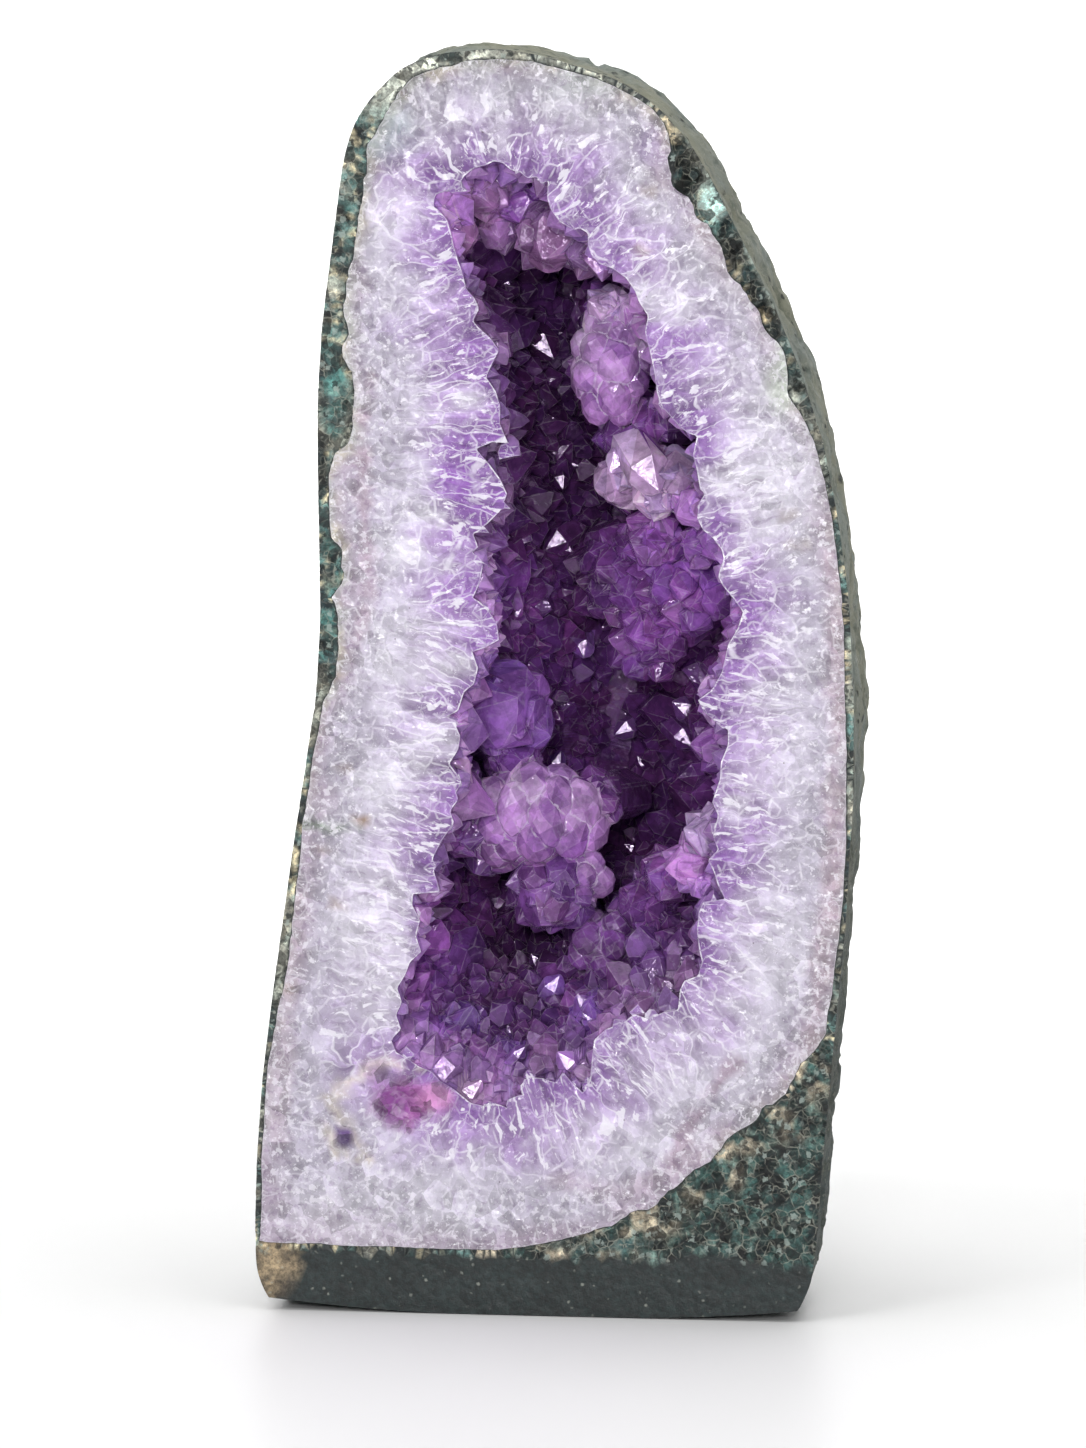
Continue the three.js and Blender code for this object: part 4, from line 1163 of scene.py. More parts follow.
def edge_layers(me, convex_at, concave_at):
    """Two corner colour layers hold, for each triangle, the distance in mm to its three edges: "ridge" for
    the edges that stand out at more than convex_at degrees and "fold" for the ones that fall in at more than
    concave_at degrees. Other edges are 50 mm off."""
    n = len(me.polygons)
    V = get_verts(me)
    lv = np.empty(n * 3, np.int32); me.loops.foreach_get("vertex_index", lv)
    le = np.empty(n * 3, np.int32); me.loops.foreach_get("edge_index", le)
    T = lv.reshape(-1, 3); E = le.reshape(-1, 3)
    A, B, C = V[T[:, 0]], V[T[:, 1]], V[T[:, 2]]
    N = np.cross(B - A, C - A)
    ar = np.linalg.norm(N, axis=1)
    N = N / (ar[:, None] + 1e-12)
    G = (A + B + C) / 3
    order = np.argsort(le, kind="stable")
    es = le[order]; fs = order // 3
    first = np.searchsorted(es, np.arange(len(me.edges)))
    ang = np.zeros(len(me.edges))
    k = np.arange(len(me.edges))
    has2 = (first + 1 < len(es))
    ok = np.zeros(len(k), bool)
    ok[has2] = es[np.minimum(first[has2] + 1, len(es) - 1)] == k[has2]
    f1, f2 = fs[np.minimum(first, len(fs) - 1)], fs[np.minimum(first + 1, len(fs) - 1)]
    dot = np.clip((N[f1] * N[f2]).sum(1), -1, 1)
    side = ((G[f2] - G[f1]) * N[f1]).sum(1)
    ang = np.where(ok, np.degrees(np.arccos(dot)) * np.where(side < 0, 1, -1), 0)
    out = []
    for test in (ang > convex_at, ang < -concave_at):
        col = np.full((n, 3, 4), 50.0)
        col[..., 3] = 1
        for e in range(3):
            hit = test[E[:, e]]
            p, q, r = T[:, e], T[:, (e + 1) % 3], (e + 2) % 3
            L = np.linalg.norm(V[q] - V[p], axis=1)
            h = ar / (L + 1e-9)
            col[hit, e, e] = 0
            col[hit, (e + 1) % 3, e] = 0
            col[hit, r, e] = h[hit]
        out.append(col)
    for name, col in zip(("ridge", "fold"), out):
        a = me.color_attributes.new(name, "FLOAT_COLOR", "CORNER")
        a.data.foreach_set("color", col.reshape(-1))


# ------------------------------------------------------------------ node materials
class Mat:
    def __init__(self, name):
        self.m = bpy.data.materials.new(name)
        self.m.use_nodes = True
        self.t = self.m.node_tree
        self.t.nodes.clear()
        self.out = self.node("ShaderNodeOutputMaterial")
        self.b = self.node("ShaderNodeBsdfPrincipled")
        self.link(self.b, "BSDF", self.out, "Surface")

    def node(self, kind, **kw):
        n = self.t.nodes.new(kind)
        for k, v in kw.items():
            if k == "inputs":
                for i, x in v.items():
                    n.inputs[i].default_value = x
            else:
                setattr(n, k, v)
        return n

    def link(self, a, ao, b, bi):
        self.t.links.new(a.outputs[ao], b.inputs[bi])

    def coords(self, scale=(1, 1, 1), attr=None):
        if attr:
            c = self.node("ShaderNodeAttribute", attribute_name=attr)
            o = "Vector"
        else:
            c = self.node("ShaderNodeTexCoord")
            o = "Object"
        mp = self.node("ShaderNodeMapping")
        mp.inputs["Scale"].default_value = scale
        self.link(c, o, mp, "Vector")
        return mp

    def noise(self, src, scale, detail=3, rough=0.55, dist=0.0):
        n = self.node("ShaderNodeTexNoise", inputs={"Scale": scale, "Detail": detail, "Roughness": rough, "Distortion": dist})
        self.link(src, 0, n, "Vector")
        return n

    def voronoi(self, src, scale, feature="F1", rand=1.0):
        n = self.node("ShaderNodeTexVoronoi", feature=feature, inputs={"Scale": scale, "Randomness": rand})
        self.link(src, 0, n, "Vector")
        return n

    def ramp(self, src, out, lo, hi, a=0.0, b=1.0):
        n = self.node("ShaderNodeMapRange", interpolation_type="SMOOTHSTEP", inputs={"From Min": lo, "From Max": hi, "To Min": a, "To Max": b})
        self.link(src, out, n, "Value")
        return n

    def math(self, op, a, ao, b, bo=None):
        n = self.node("ShaderNodeMath", operation=op)
        self.link(a, ao, n, 0)
        if bo is None:
            n.inputs[1].default_value = b
        else:
            self.link(b, bo, n, 1)
        return n

    def mix(self, fac, fo, a, ao, b, bo=None, blend="MIX"):
        n = self.node("ShaderNodeMix", data_type="RGBA", blend_type=blend)
        if fo is None:
            n.inputs[0].default_value = fac
        else:
            self.link(fac, fo, n, 0)
        if ao is None:
            n.inputs[6].default_value = (*a, 1)
        else:
            self.link(a, ao, n, 6)
        if bo is None:
            n.inputs[7].default_value = (*b, 1)
        else:
            self.link(b, bo, n, 7)
        return n

    def bump(self, height, ho, strength, distance, after=None):
        n = self.node("ShaderNodeBump", inputs={"Strength": strength, "Distance": distance})
        self.link(height, ho, n, "Height")
        if after is not None:
            self.link(after, "Normal", n, "Normal")
        return n

    def set(self, **kw):
        for k, v in kw.items():
            self.b.inputs[k.replace("_", " ")].default_value = v


def line_of(m, name, width, jitter=None):
    """0..1 line along the edges held in a corner layer."""
    at_ = m.node("ShaderNodeAttribute", attribute_name=name)
    sp = m.node("ShaderNodeSeparateColor")
    m.link(at_, "Color", sp, 0)
    d = m.math("MINIMUM", m.math("MINIMUM", sp, 0, sp, 1), 0, sp, 2)
    if jitter is not None:
        d = m.math("ADD", d, 0, jitter, 0)
    return m.ramp(d, 0, width * 0.25, width, 1.0, 0.0)


def facets(m, src, scale, amount):
    """Height in which each cell has its own tilt, in units of the cells."""
    v = m.node("ShaderNodeTexVoronoi", feature="F1", inputs={"Scale": scale, "Randomness": 1.0})
    m.link(src, 0, v, "Vector")
    sc = m.node("ShaderNodeVectorMath", operation="SCALE")
    m.link(src, 0, sc, 0); sc.inputs["Scale"].default_value = scale
    ps = m.node("ShaderNodeVectorMath", operation="SCALE")
    m.link(v, "Position", ps, 0); ps.inputs["Scale"].default_value = scale
    df = m.node("ShaderNodeVectorMath", operation="SUBTRACT")
    m.link(sc, 0, df, 0); m.link(ps, 0, df, 1)
    cc = m.node("ShaderNodeVectorMath", operation="SUBTRACT")
    m.link(v, "Color", cc, 0); cc.inputs[1].default_value = (0.5, 0.5, 0.5)
    dt = m.node("ShaderNodeVectorMath", operation="DOT_PRODUCT")
    m.link(df, 0, dt, 0); m.link(cc, 0, dt, 1)
    h = m.node("ShaderNodeMath", operation="MULTIPLY")
    m.link(dt, "Value", h, 0); h.inputs[1].default_value = amount
    return v, h


def quartz_face():
    m = Mat("quartz_face")
    tint = m.node("ShaderNodeAttribute", attribute_name="tint")
    fl = m.coords((1, 1, 1), "flow")                         # along the edge of the cavity, away from it, mm
    obj = m.coords((1000, 1000, 1000))                       # object space in mm
    sf = m.node("ShaderNodeSeparateColor"); m.link(fl, 0, sf, 0)
    nearm = m.ramp(sf, 1, 12.0, 26.0, 1.0, 0.0)

    def grey(src, so):
        c = m.node("ShaderNodeCombineColor")
        for k in range(3):
            m.link(src, so, c, k)
        return c

    # grown columns that run out from the cavity
    nz = m.noise(obj, 0.11, 2)
    fw = m.node("ShaderNodeVectorMath", operation="MULTIPLY_ADD")
    m.link(nz, "Color", fw, 0); fw.inputs[1].default_value = (5.0, 9.0, 0); m.link(fl, 0, fw, 2)
    fs = m.node("ShaderNodeVectorMath", operation="MULTIPLY")
    m.link(fw, 0, fs, 0); fs.inputs[1].default_value = (0.13, 0.062, 0.0)
    vc = m.voronoi(fs, 1.0, "DISTANCE_TO_EDGE")
    cf = m.voronoi(fs, 1.0, "F1")
    sc_ = m.node("ShaderNodeSeparateColor"); m.link(cf, "Color", sc_, 0)
    # each column cell has its own brightness, and is painted brighter towards its edges as shading
    kc = m.math("MULTIPLY", m.ramp(sc_, 0, 0.0, 1.0, 0.80, 1.10), 0, m.ramp(vc, "Distance", 0.0, 0.35, 1.10, 0.92), 0)
    kc = m.math("ADD", m.math("MULTIPLY", m.math("SUBTRACT", kc, 0, 1.0), 0, nearm, 0), 0, 1.0)
    lc = m.ramp(vc, "Distance", 0.006, 0.026, 1.0, 0.0)
    lcm = m.math("MULTIPLY", m.math("MULTIPLY", lc, 0, nearm, 0), 0, m.ramp(m.noise(obj, 0.2, 2), 0, 0.36, 0.52, 0.15, 1.0), 0)
    # single crystals: narrow by the cavity, rounder further out
    f2 = m.node("ShaderNodeVectorMath", operation="MULTIPLY")
    m.link(fw, 0, f2, 0); f2.inputs[1].default_value = (0.36, 0.17, 0.0)
    va = m.voronoi(f2, 1.0, "F1")
    o2 = m.node("ShaderNodeVectorMath", operation="SCALE")
    warp = m.noise_warp(obj, 0.3, 0.8)
    m.link(warp, 0, o2, 0); o2.inputs["Scale"].default_value = 0.27
    vb = m.voronoi(o2, 1.0, "F1")
    sa = m.node("ShaderNodeSeparateColor"); m.link(va, "Color", sa, 0)
    sb = m.node("ShaderNodeSeparateColor"); m.link(vb, "Color", sb, 0)
    # each crystal cell has its own brightness, and is painted brighter away from its middle as shading
    ka = m.math("MULTIPLY", m.ramp(sa, 0, 0.0, 1.0, 0.80, 1.10), 0, m.ramp(va, "Distance", 0.1, 0.7, 0.92, 1.10), 0)
    kb = m.math("MULTIPLY", m.ramp(sb, 0, 0.0, 1.0, 0.71, 1.15), 0, m.ramp(vb, "Distance", 0.1, 0.7, 0.88, 1.13), 0)
    mixk = m.node("ShaderNodeMix", data_type="FLOAT")
    m.link(nearm, 0, mixk, 0); m.link(kb, 0, mixk, 2); m.link(ka, 0, mixk, 3)
    k = m.math("MULTIPLY", kc, 0, mixk, 0)
    v2, h2 = facets(m, obj, 0.8, 0.25)
    v1, h1 = facets(m, warp, 0.27, 0.55)
    s2 = m.node("ShaderNodeSeparateColor"); m.link(v2, "Color", s2, 0)
    k = m.math("MULTIPLY", k, 0, m.ramp(s2, 1, 0.0, 1.0, 0.93, 1.05), 0)
    kv = m.math("MULTIPLY", m.ramp(sb, 1, 0.1, 0.9, 0.5, 1.35), 0, m.ramp(s2, 0, 0.0, 1.0, 0.8, 1.15), 0)
    mv = m.node("ShaderNodeMix", data_type="FLOAT")
    m.link(tint, "Alpha", mv, 0); m.link(kv, 0, mv, 2); m.link(k, 0, mv, 3)
    col = m.mix(1.0, None, tint, "Color", grey(mv, 0), 0, "MULTIPLY")
    # milky clouds and short bright strokes
    cloud = m.ramp(m.noise(obj, 0.14, 4, 0.6, 0.5), 0, 0.52, 0.74)
    soft = m.math("MULTIPLY", cloud, 0, 0.42)
    soft = m.math("MULTIPLY", soft, 0, tint, "Alpha")
    col = m.mix(soft, 0, col, 2, (0.70, 0.66, 0.77))
    warp = m.noise_warp(obj, 0.5, 1.2)
    iso = m.noise(warp, 0.42, 3, 0.5)
    arc = m.ramp(m.math("ABSOLUTE", m.math("SUBTRACT", iso, 0, 0.52), 0, 0.0), 0, 0.003, 0.014, 1.0, 0.0)
    arcm = m.math("MULTIPLY", arc, 0, m.ramp(m.noise(obj, 0.55, 2), 0, 0.48, 0.58), 0)
    fold = line_of(m, "fold", 0.40, None)
    foldm = m.math("MULTIPLY", fold, 0, m.ramp(m.noise(obj, 0.3, 2), 0, 0.40, 0.6), 0)
    ridge = line_of(m, "ridge", 0.34, None)
    lines = m.math("MAXIMUM", m.math("MULTIPLY", foldm, 0, 0.42), 0, m.math("MULTIPLY", arcm, 0, 0.55), 0)
    lines = m.math("MAXIMUM", lines, 0, m.math("MULTIPLY", lcm, 0, 0.6), 0)
    lines = m.math("MAXIMUM", lines, 0, m.math("MULTIPLY", ridge, 0, 0.28), 0)
    # short strokes, along the growth by the cavity and in every direction further out
    f3 = m.node("ShaderNodeVectorMath", operation="MULTIPLY")
    m.link(fw, 0, f3, 0); f3.inputs[1].default_value = (0.50, 0.17, 0.0)
    sn = m.noise(f3, 1.0, 3, 0.55)
    so = m.noise(warp, 0.52, 3, 0.6)
    sx = m.node("ShaderNodeMix", data_type="FLOAT")
    m.link(nearm, 0, sx, 0); m.link(so, 0, sx, 2); m.link(sn, 0, sx, 3)
    bright = m.math("MULTIPLY", m.ramp(sx, 0, 0.575, 0.615), 0, m.math("ADD", m.math("MULTIPLY", nearm, 0, 0.3), 0, 0.7), 0)
    # painted shade: darker thin strokes between the crystals
    shade_strokes = m.math("MULTIPLY", m.ramp(sx, 0, 0.44, 0.37), 0, tint, "Alpha")
    col = m.mix(m.math("MULTIPLY", shade_strokes, 0, 0.55), 0, col, 2, m.mix(1.0, None, col, 2, (0.66, 0.58, 0.70), None, "MULTIPLY"), 2)
    lines = m.math("MAXIMUM", lines, 0, m.math("MULTIPLY", bright, 0, 0.78), 0)
    dot = m.math("MULTIPLY", m.ramp(m.voronoi(warp, 0.75, "F1"), "Distance", 0.06, 0.16, 1.0, 0.0), 0, m.ramp(m.noise(obj, 0.33, 2), 0, 0.50, 0.58), 0)
    lines = m.math("MAXIMUM", lines, 0, m.math("MULTIPLY", dot, 0, 0.7), 0)
    # painted highlight: a bright line along the cut edge of the cavity
    rim = m.math("MULTIPLY", m.ramp(sf, 1, 0.12, 0.5, 0.85, 0.0), 0, m.ramp(m.noise(obj, 0.25, 2), 0, 0.42, 0.58, 0.08, 1.0), 0)
    lines = m.math("MAXIMUM", lines, 0, rim, 0)
    lines = m.math("MULTIPLY", lines, 0, tint, "Alpha")
    col = m.mix(lines, 0, col, 2, (0.90, 0.87, 0.95))
    # dark specks
    sp = m.voronoi(obj, 0.30, "F1")
    spk = m.ramp(sp, "Distance", 0.03, 0.085, 1.0, 0.0)
    spm = m.ramp(m.noise(obj, 0.09, 2), 0, 0.46, 0.56)
    col = m.mix(m.math("MULTIPLY", m.math("MULTIPLY", spk, 0, spm, 0), 0, 0.75), 0, col, 2, (0.12, 0.08, 0.12))
    m.link(col, 2, m.b, "Base Color")
    r = m.ramp(m.noise(obj, 0.6, 3), 0, 0.35, 0.7, 0.10, 0.32)
    m.link(r, 0, m.b, "Roughness")
    hs = m.math("ADD", h1, 0, h2, 0)
    hs = m.math("ADD", hs, 0, m.math("MULTIPLY", m.noise(obj, 1.1, 4, 0.6), 0, 0.2), 0)
    b1 = m.bump(hs, 0, 0.7, 0.0009)
    m.link(b1, 0, m.b, "Normal")
    m.set(IOR=1.54, Specular_IOR_Level=0.55, Subsurface_Weight=0.25, Subsurface_Radius=(1.0, 0.8, 1.1), Subsurface_Scale=0.0022)
    return m.m


def amethyst_points():
    m = Mat("amethyst_points")
    tint = m.node("ShaderNodeAttribute", attribute_name="tint")
    clear = m.node("ShaderNodeAttribute", attribute_name="clear")
    keep = m.math("SUBTRACT", m.math("MULTIPLY", clear, "Fac", -1.0), 0, -1.0)      # 1 where the face isn't a mirror
    obj = m.coords((1000, 1000, 1000))
    sh = m.ramp(m.noise(obj, 0.2, 4, 0.62, 0.7), 0, 0.3, 0.7, 0.72, 1.3)
    shc = m.node("ShaderNodeCombineColor"); [m.link(sh, 0, shc, k) for k in range(3)]
    col = m.mix(1.0, None, tint, "Color", shc, 0, "MULTIPLY")
    warp = m.noise_warp(obj, 0.4, 1.2)
    v1, h1 = facets(m, warp, 0.42, 0.30)
    s1 = m.node("ShaderNodeSeparateColor"); m.link(v1, "Color", s1, 0)
    k1 = m.ramp(s1, 0, 0.0, 1.0, 0.84, 1.16)
    cl = m.node("ShaderNodeCombineColor"); [m.link(k1, 0, cl, k) for k in range(3)]
    col = m.mix(1.0, None, col, 2, cl, 0, "MULTIPLY")
    # pale veils and healed cracks
    veil = m.ramp(m.noise(obj, 0.3, 4, 0.6, 0.8), 0, 0.55, 0.74)
    col = m.mix(m.math("MULTIPLY", veil, 0, 0.28), 0, col, 2, (0.66, 0.52, 0.76))
    iso = m.noise(warp, 0.34, 2, 0.5)
    arc = m.ramp(m.math("ABSOLUTE", m.math("SUBTRACT", iso, 0, 0.5), 0, 0.0), 0, 0.003, 0.012, 1.0, 0.0)
    arcm = m.math("MULTIPLY", arc, 0, m.ramp(m.noise(obj, 0.4, 2), 0, 0.52, 0.62), 0)
    # painted highlights: pale lines along the convex edges of the crystal points
    ridge = line_of(m, "ridge", 0.34, m.ramp(m.noise(obj, 0.5, 2), 0, 0.35, 0.65, -0.05, 0.22))
    fold = line_of(m, "fold", 0.5, None)
    # painted shade: darker along the concave folds between the crystal points
    fold_shade = m.math("MULTIPLY", fold, 0, tint, "Alpha")
    col = m.mix(m.math("MULTIPLY", fold_shade, 0, 0.45), 0, col, 2, m.mix(1.0, None, col, 2, (0.35, 0.25, 0.4), None, "MULTIPLY"), 2)
    # painted highlights: pale lines along the folds between the lobes of the rounded clusters
    fold_highlight = m.math("MULTIPLY", m.math("SUBTRACT", fold, 0, fold_shade, 0), 0, m.ramp(m.noise(obj, 0.35, 2), 0, 0.38, 0.6, 0.15, 1.0), 0)
    ridge = m.math("MULTIPLY", ridge, 0, m.math("ADD", m.math("MULTIPLY", tint, "Alpha", 0.35), 0, 0.2), 0)
    ln = m.math("MAXIMUM", ridge, 0, m.math("MULTIPLY", arcm, 0, 0.4), 0)
    ln = m.math("MAXIMUM", ln, 0, m.math("MULTIPLY", fold_highlight, 0, 1.0), 0)
    # pale lines: healed cracks, and the painted highlights along edges and lobe folds
    pale = m.mix(1.0, None, col, 2, (0.55, 0.5, 0.55), None, "SCREEN")
    pale = m.mix(0.5, None, col, 2, pale, 2)
    col = m.mix(ln, 0, col, 2, pale, 2)
    col = m.mix(m.math("MULTIPLY", fold_highlight, 0, 0.5), 0, col, 2, (0.84, 0.72, 0.94))
    m.link(col, 2, m.b, "Base Color")
    r = m.ramp(m.noise(obj, 0.35, 3), 0, 0.35, 0.7, 0.05, 0.20)
    r2 = m.math("MULTIPLY", r, 0, m.math("ADD", m.math("MULTIPLY", keep, 0, 0.9), 0, 0.1), 0)
    m.link(r2, 0, m.b, "Roughness")
    hs = m.math("ADD", h1, 0, m.math("MULTIPLY", m.noise(obj, 0.6, 3, 0.5), 0, 0.5), 0)
    hs = m.math("MULTIPLY", hs, 0, m.math("ADD", m.math("MULTIPLY", keep, 0, 0.15), 0, 0.85), 0)
    b1 = m.bump(hs, 0, 0.6, 0.0007)
    m.link(b1, 0, m.b, "Normal")
    m.set(Specular_Tint=(0.9, 0.74, 1.0, 1))
    m.set(IOR=1.55, Specular_IOR_Level=0.5, Transmission_Weight=0.24, Subsurface_Weight=0.4, Subsurface_Radius=(1.0, 0.55, 1.1), Subsurface_Scale=0.003)
    return m.m


def noise_warp(self, src, scale, amount):
    n = self.noise(src, scale, 2)
    w = self.node("ShaderNodeVectorMath", operation="MULTIPLY_ADD")
    self.link(n, "Color", w, 0)
    w.inputs[1].default_value = (amount,) * 3
    self.link(src, 0, w, 2)
    return w


Mat.noise_warp = noise_warp


def sawn_rock():
    m = Mat("sawn_rock")
    tint = m.node("ShaderNodeAttribute", attribute_name="tint")
    grain = m.node("ShaderNodeAttribute", attribute_name="grain")
    obj = m.coords((1000, 1000, 1000))
    sh = m.math("MULTIPLY", m.ramp(m.noise(obj, 0.9, 6, 0.72), 0, 0.34, 0.66, 0.5, 1.62), 0, m.ramp(m.noise(obj, 0.22, 4, 0.7), 0, 0.35, 0.65, 0.7, 1.3), 0)
    # lumps of the granular zone, each with its own depth of colour
    warp = m.noise_warp(obj, 0.6, 1.0)
    lump = m.voronoi(warp, 0.34, "F1")
    ls = m.node("ShaderNodeSeparateColor"); m.link(lump, "Color", ls, 0)
    lk = m.math("MULTIPLY", m.ramp(ls, 0, 0.0, 1.0, 0.28, 1.95), 0, m.ramp(lump, "Distance", 0.0, 0.75, 1.15, 0.8), 0)
    lm = m.node("ShaderNodeMix", data_type="FLOAT")
    m.link(grain, "Fac", lm, 0); lm.inputs[2].default_value = 1.0; m.link(lk, 0, lm, 3)
    sh = m.math("MULTIPLY", sh, 0, lm, 0)
    shc = m.node("ShaderNodeCombineColor"); [m.link(sh, 0, shc, k) for k in range(3)]
    col = m.mix(1.0, None, tint, "Color", shc, 0, "MULTIPLY")
    sp = m.ramp(m.voronoi(m.noise_warp(obj, 0.9, 0.8), 0.42, "F1"), "Distance", 0.08, 0.24, 1.0, 0.0)
    spm = m.ramp(m.noise(obj, 0.2, 2), 0, 0.46, 0.6)
    col = m.mix(m.math("MULTIPLY", m.math("MULTIPLY", sp, 0, spm, 0), 0, 0.6), 0, col, 2, (0.36, 0.38, 0.33))
    sd = m.ramp(m.voronoi(m.noise_warp(obj, 0.7, 0.9), 0.38, "F1"), "Distance", 0.06, 0.2, 1.0, 0.0)
    col = m.mix(m.math("MULTIPLY", m.math("MULTIPLY", sd, 0, m.ramp(m.noise(obj, 0.17, 2), 0, 0.44, 0.58), 0), 0, 0.6), 0, col, 2, (0.012, 0.016, 0.016))
    ln = m.ramp(m.voronoi(warp, 0.34, "DISTANCE_TO_EDGE"), "Distance", 0.0, 0.075, 1.0, 0.0)
    lg = m.math("MULTIPLY", m.math("MULTIPLY", ln, 0, m.ramp(m.noise(obj, 0.35, 2), 0, 0.42, 0.58), 0), 0, grain, "Fac")
    fold = m.math("MULTIPLY", line_of(m, "ridge", 0.3, None), 0, grain, "Fac")
    lg = m.math("MAXIMUM", m.math("MULTIPLY", lg, 0, 0.5), 0, m.math("MULTIPLY", fold, 0, 0.12), 0)
    col = m.mix(lg, 0, col, 2, (0.50, 0.50, 0.42))
    gr = m.voronoi(m.noise_warp(obj, 0.8, 2.0), 0.56, "F1")
    gr.distance = "CHEBYCHEV"
    gs = m.node("ShaderNodeSeparateColor"); m.link(gr, "Color", gs, 0)
    gp = m.math("MULTIPLY", m.ramp(gs, 0, 0.80, 0.86), 0, m.ramp(gr, "Distance", 0.26, 0.42, 1.0, 0.0), 0)
    col = m.mix(m.math("MULTIPLY", m.math("MULTIPLY", gp, 0, grain, "Fac"), 0, 0.62), 0, col, 2, (0.42, 0.50, 0.46))
    gd = m.math("MULTIPLY", m.ramp(gs, 1, 0.78, 0.84), 0, m.ramp(gr, "Distance", 0.30, 0.46, 1.0, 0.0), 0)
    col = m.mix(m.math("MULTIPLY", m.math("MULTIPLY", gd, 0, grain, "Fac"), 0, 0.8), 0, col, 2, (0.008, 0.014, 0.015))
    m.link(col, 2, m.b, "Base Color")
    r = m.ramp(m.noise(obj, 0.7, 3), 0, 0.3, 0.7, 0.28, 0.55)
    m.link(r, 0, m.b, "Roughness")
    h = m.noise(obj, 1.1, 5, 0.65)
    hv = m.math("MULTIPLY", lump, "Distance", -1.2)
    hg = m.math("MULTIPLY", m.math("ADD", h, 0, hv, 0), 0, m.math("ADD", m.math("MULTIPLY", grain, "Fac", 0.9), 0, 0.18), 0)
    b1 = m.bump(hg, 0, 0.7, 0.0011)
    m.link(b1, 0, m.b, "Normal")
    m.set(IOR=1.52)
    return m.m


def rough_rock():
    m = Mat("rough_rock")
    tint = m.node("ShaderNodeAttribute", attribute_name="tint")
    obj = m.coords((1000, 1000, 1000))
    big = m.ramp(m.noise(obj, 0.05, 3, 0.6, 0.5), 0, 0.35, 0.65)
    col = m.mix(big, 0, tint, "Color", m.mix(1.0, None, tint, "Color", (1.12, 1.0, 0.82), None, "MULTIPLY"), 2)
    dark = m.ramp(m.noise(obj, 0.18, 5, 0.65), 0, 0.47, 0.66)
    col = m.mix(m.math("MULTIPLY", dark, 0, 0.6), 0, col, 2, m.mix(1.0, None, col, 2, (0.32, 0.4, 0.4), None, "MULTIPLY"), 2)
    # dark round pits: painted shade inside the pits, which the bump below also sinks
    pv = m.voronoi(m.noise_warp(obj, 0.45, 1.6), 0.36, "F1")
    ps = m.node("ShaderNodeSeparateColor"); m.link(pv, "Color", ps, 0)
    rad = m.math("ADD", m.math("MULTIPLY", m.math("POWER", ps, 0, 2.2), 0, 0.46), 0, 0.03)
    pit = m.ramp(m.math("DIVIDE", pv, "Distance", rad, 0), 0, 0.5, 1.05, 1.0, 0.0)
    pm = m.ramp(m.noise(obj, 0.22, 2), 0, 0.44, 0.56)
    pk = m.math("MULTIPLY", pit, 0, pm, 0)
    col = m.mix(m.math("MULTIPLY", pk, 0, 0.85), 0, col, 2, (0.022, 0.032, 0.034))
    pale = m.ramp(m.noise(obj, 0.5, 4, 0.7), 0, 0.53, 0.72)
    col = m.mix(m.math("MULTIPLY", pale, 0, 0.45), 0, col, 2, (0.50, 0.50, 0.43))
    m.link(col, 2, m.b, "Base Color")
    r = m.ramp(m.noise(obj, 0.5, 3), 0, 0.3, 0.7, 0.55, 0.9)
    m.link(r, 0, m.b, "Roughness")
    h = m.math("SUBTRACT", m.noise(obj, 0.55, 6, 0.68), 0, m.math("MULTIPLY", pk, 0, 0.9), 0)
    b1 = m.bump(h, 0, 0.9, 0.0022)
    m.link(b1, 0, m.b, "Normal")
    return m.m


def finish_lining(o):
    triangulate(o)
    me = o.data
    V = get_verts(me)
    npoly = len(me.polygons)
    nor = np.empty(npoly * 3); me.polygons.foreach_get("normal", nor); nor = nor.reshape(-1, 3)
    cen = np.empty(npoly * 3); me.polygons.foreach_get("center", cen); cen = cen.reshape(-1, 3) * 1000
    cen[:, 0] -= SHIFT_X
    front = (nor[:, 1] < -0.55) & (cen[:, 1] < FACE_Y + 0.9)
    pits = (cen[:, 1] < FACE_Y + 4.5) & ~inside(mouth + mouth_n * 0.8, cen[:, [0, 2]]) & (nor[:, 1] < -0.1) & inside(lining_rough - out_normals(lining_rough) * 0.2, cen[:, [0, 2]])
    front |= pits
    tintv = np.zeros((len(V), 3)); flow = np.zeros((len(V), 3))
    lv = np.empty(len(me.loops), np.int32); me.loops.foreach_get("vertex_index", lv)
    lt = np.empty(npoly, np.int32); me.polygons.foreach_get("loop_total", lt)
    lf = np.repeat(np.arange(npoly), lt)
    fv = np.unique(lv[front[lf]])
    over = np.ones(len(V))
    tintv[fv], flow[fv], over[fv] = face_tint(V[fv][:, [0, 2]])
    ct = np.zeros((npoly, 3)); rounded = np.zeros(npoly)
    ct[~front], rounded[~front] = crystal_tint(cen[~front], nor[~front])
    corner_colours(me, "tint", tintv, ct, front, over, 1 - rounded)
    edge_layers(me, 19, 10)
    cl = np.zeros(npoly)
    for c, h, r in CLEAR:
        v = cen - c
        cl[(np.abs((v * h).sum(1)) < 0.6) & (np.linalg.norm(v, axis=1) < r * 1.4) & ((nor * h).sum(1) > 0.995)] = 1
    a = me.attributes.new("clear", "FLOAT", "CORNER")
    a.data.foreach_set("value", np.repeat(cl, 3))
    a = me.attributes.new("flow", "FLOAT_VECTOR", "POINT")
    a.data.foreach_set("vector", flow.ravel())
    me.materials.clear()
    me.materials.append(quartz_face())
    me.materials.append(amethyst_points())
    me.polygons.foreach_set("material_index", np.where(front, 0, 1).astype(np.int32))
    me.polygons.foreach_set("use_smooth", np.zeros(npoly, bool))
    me.update()


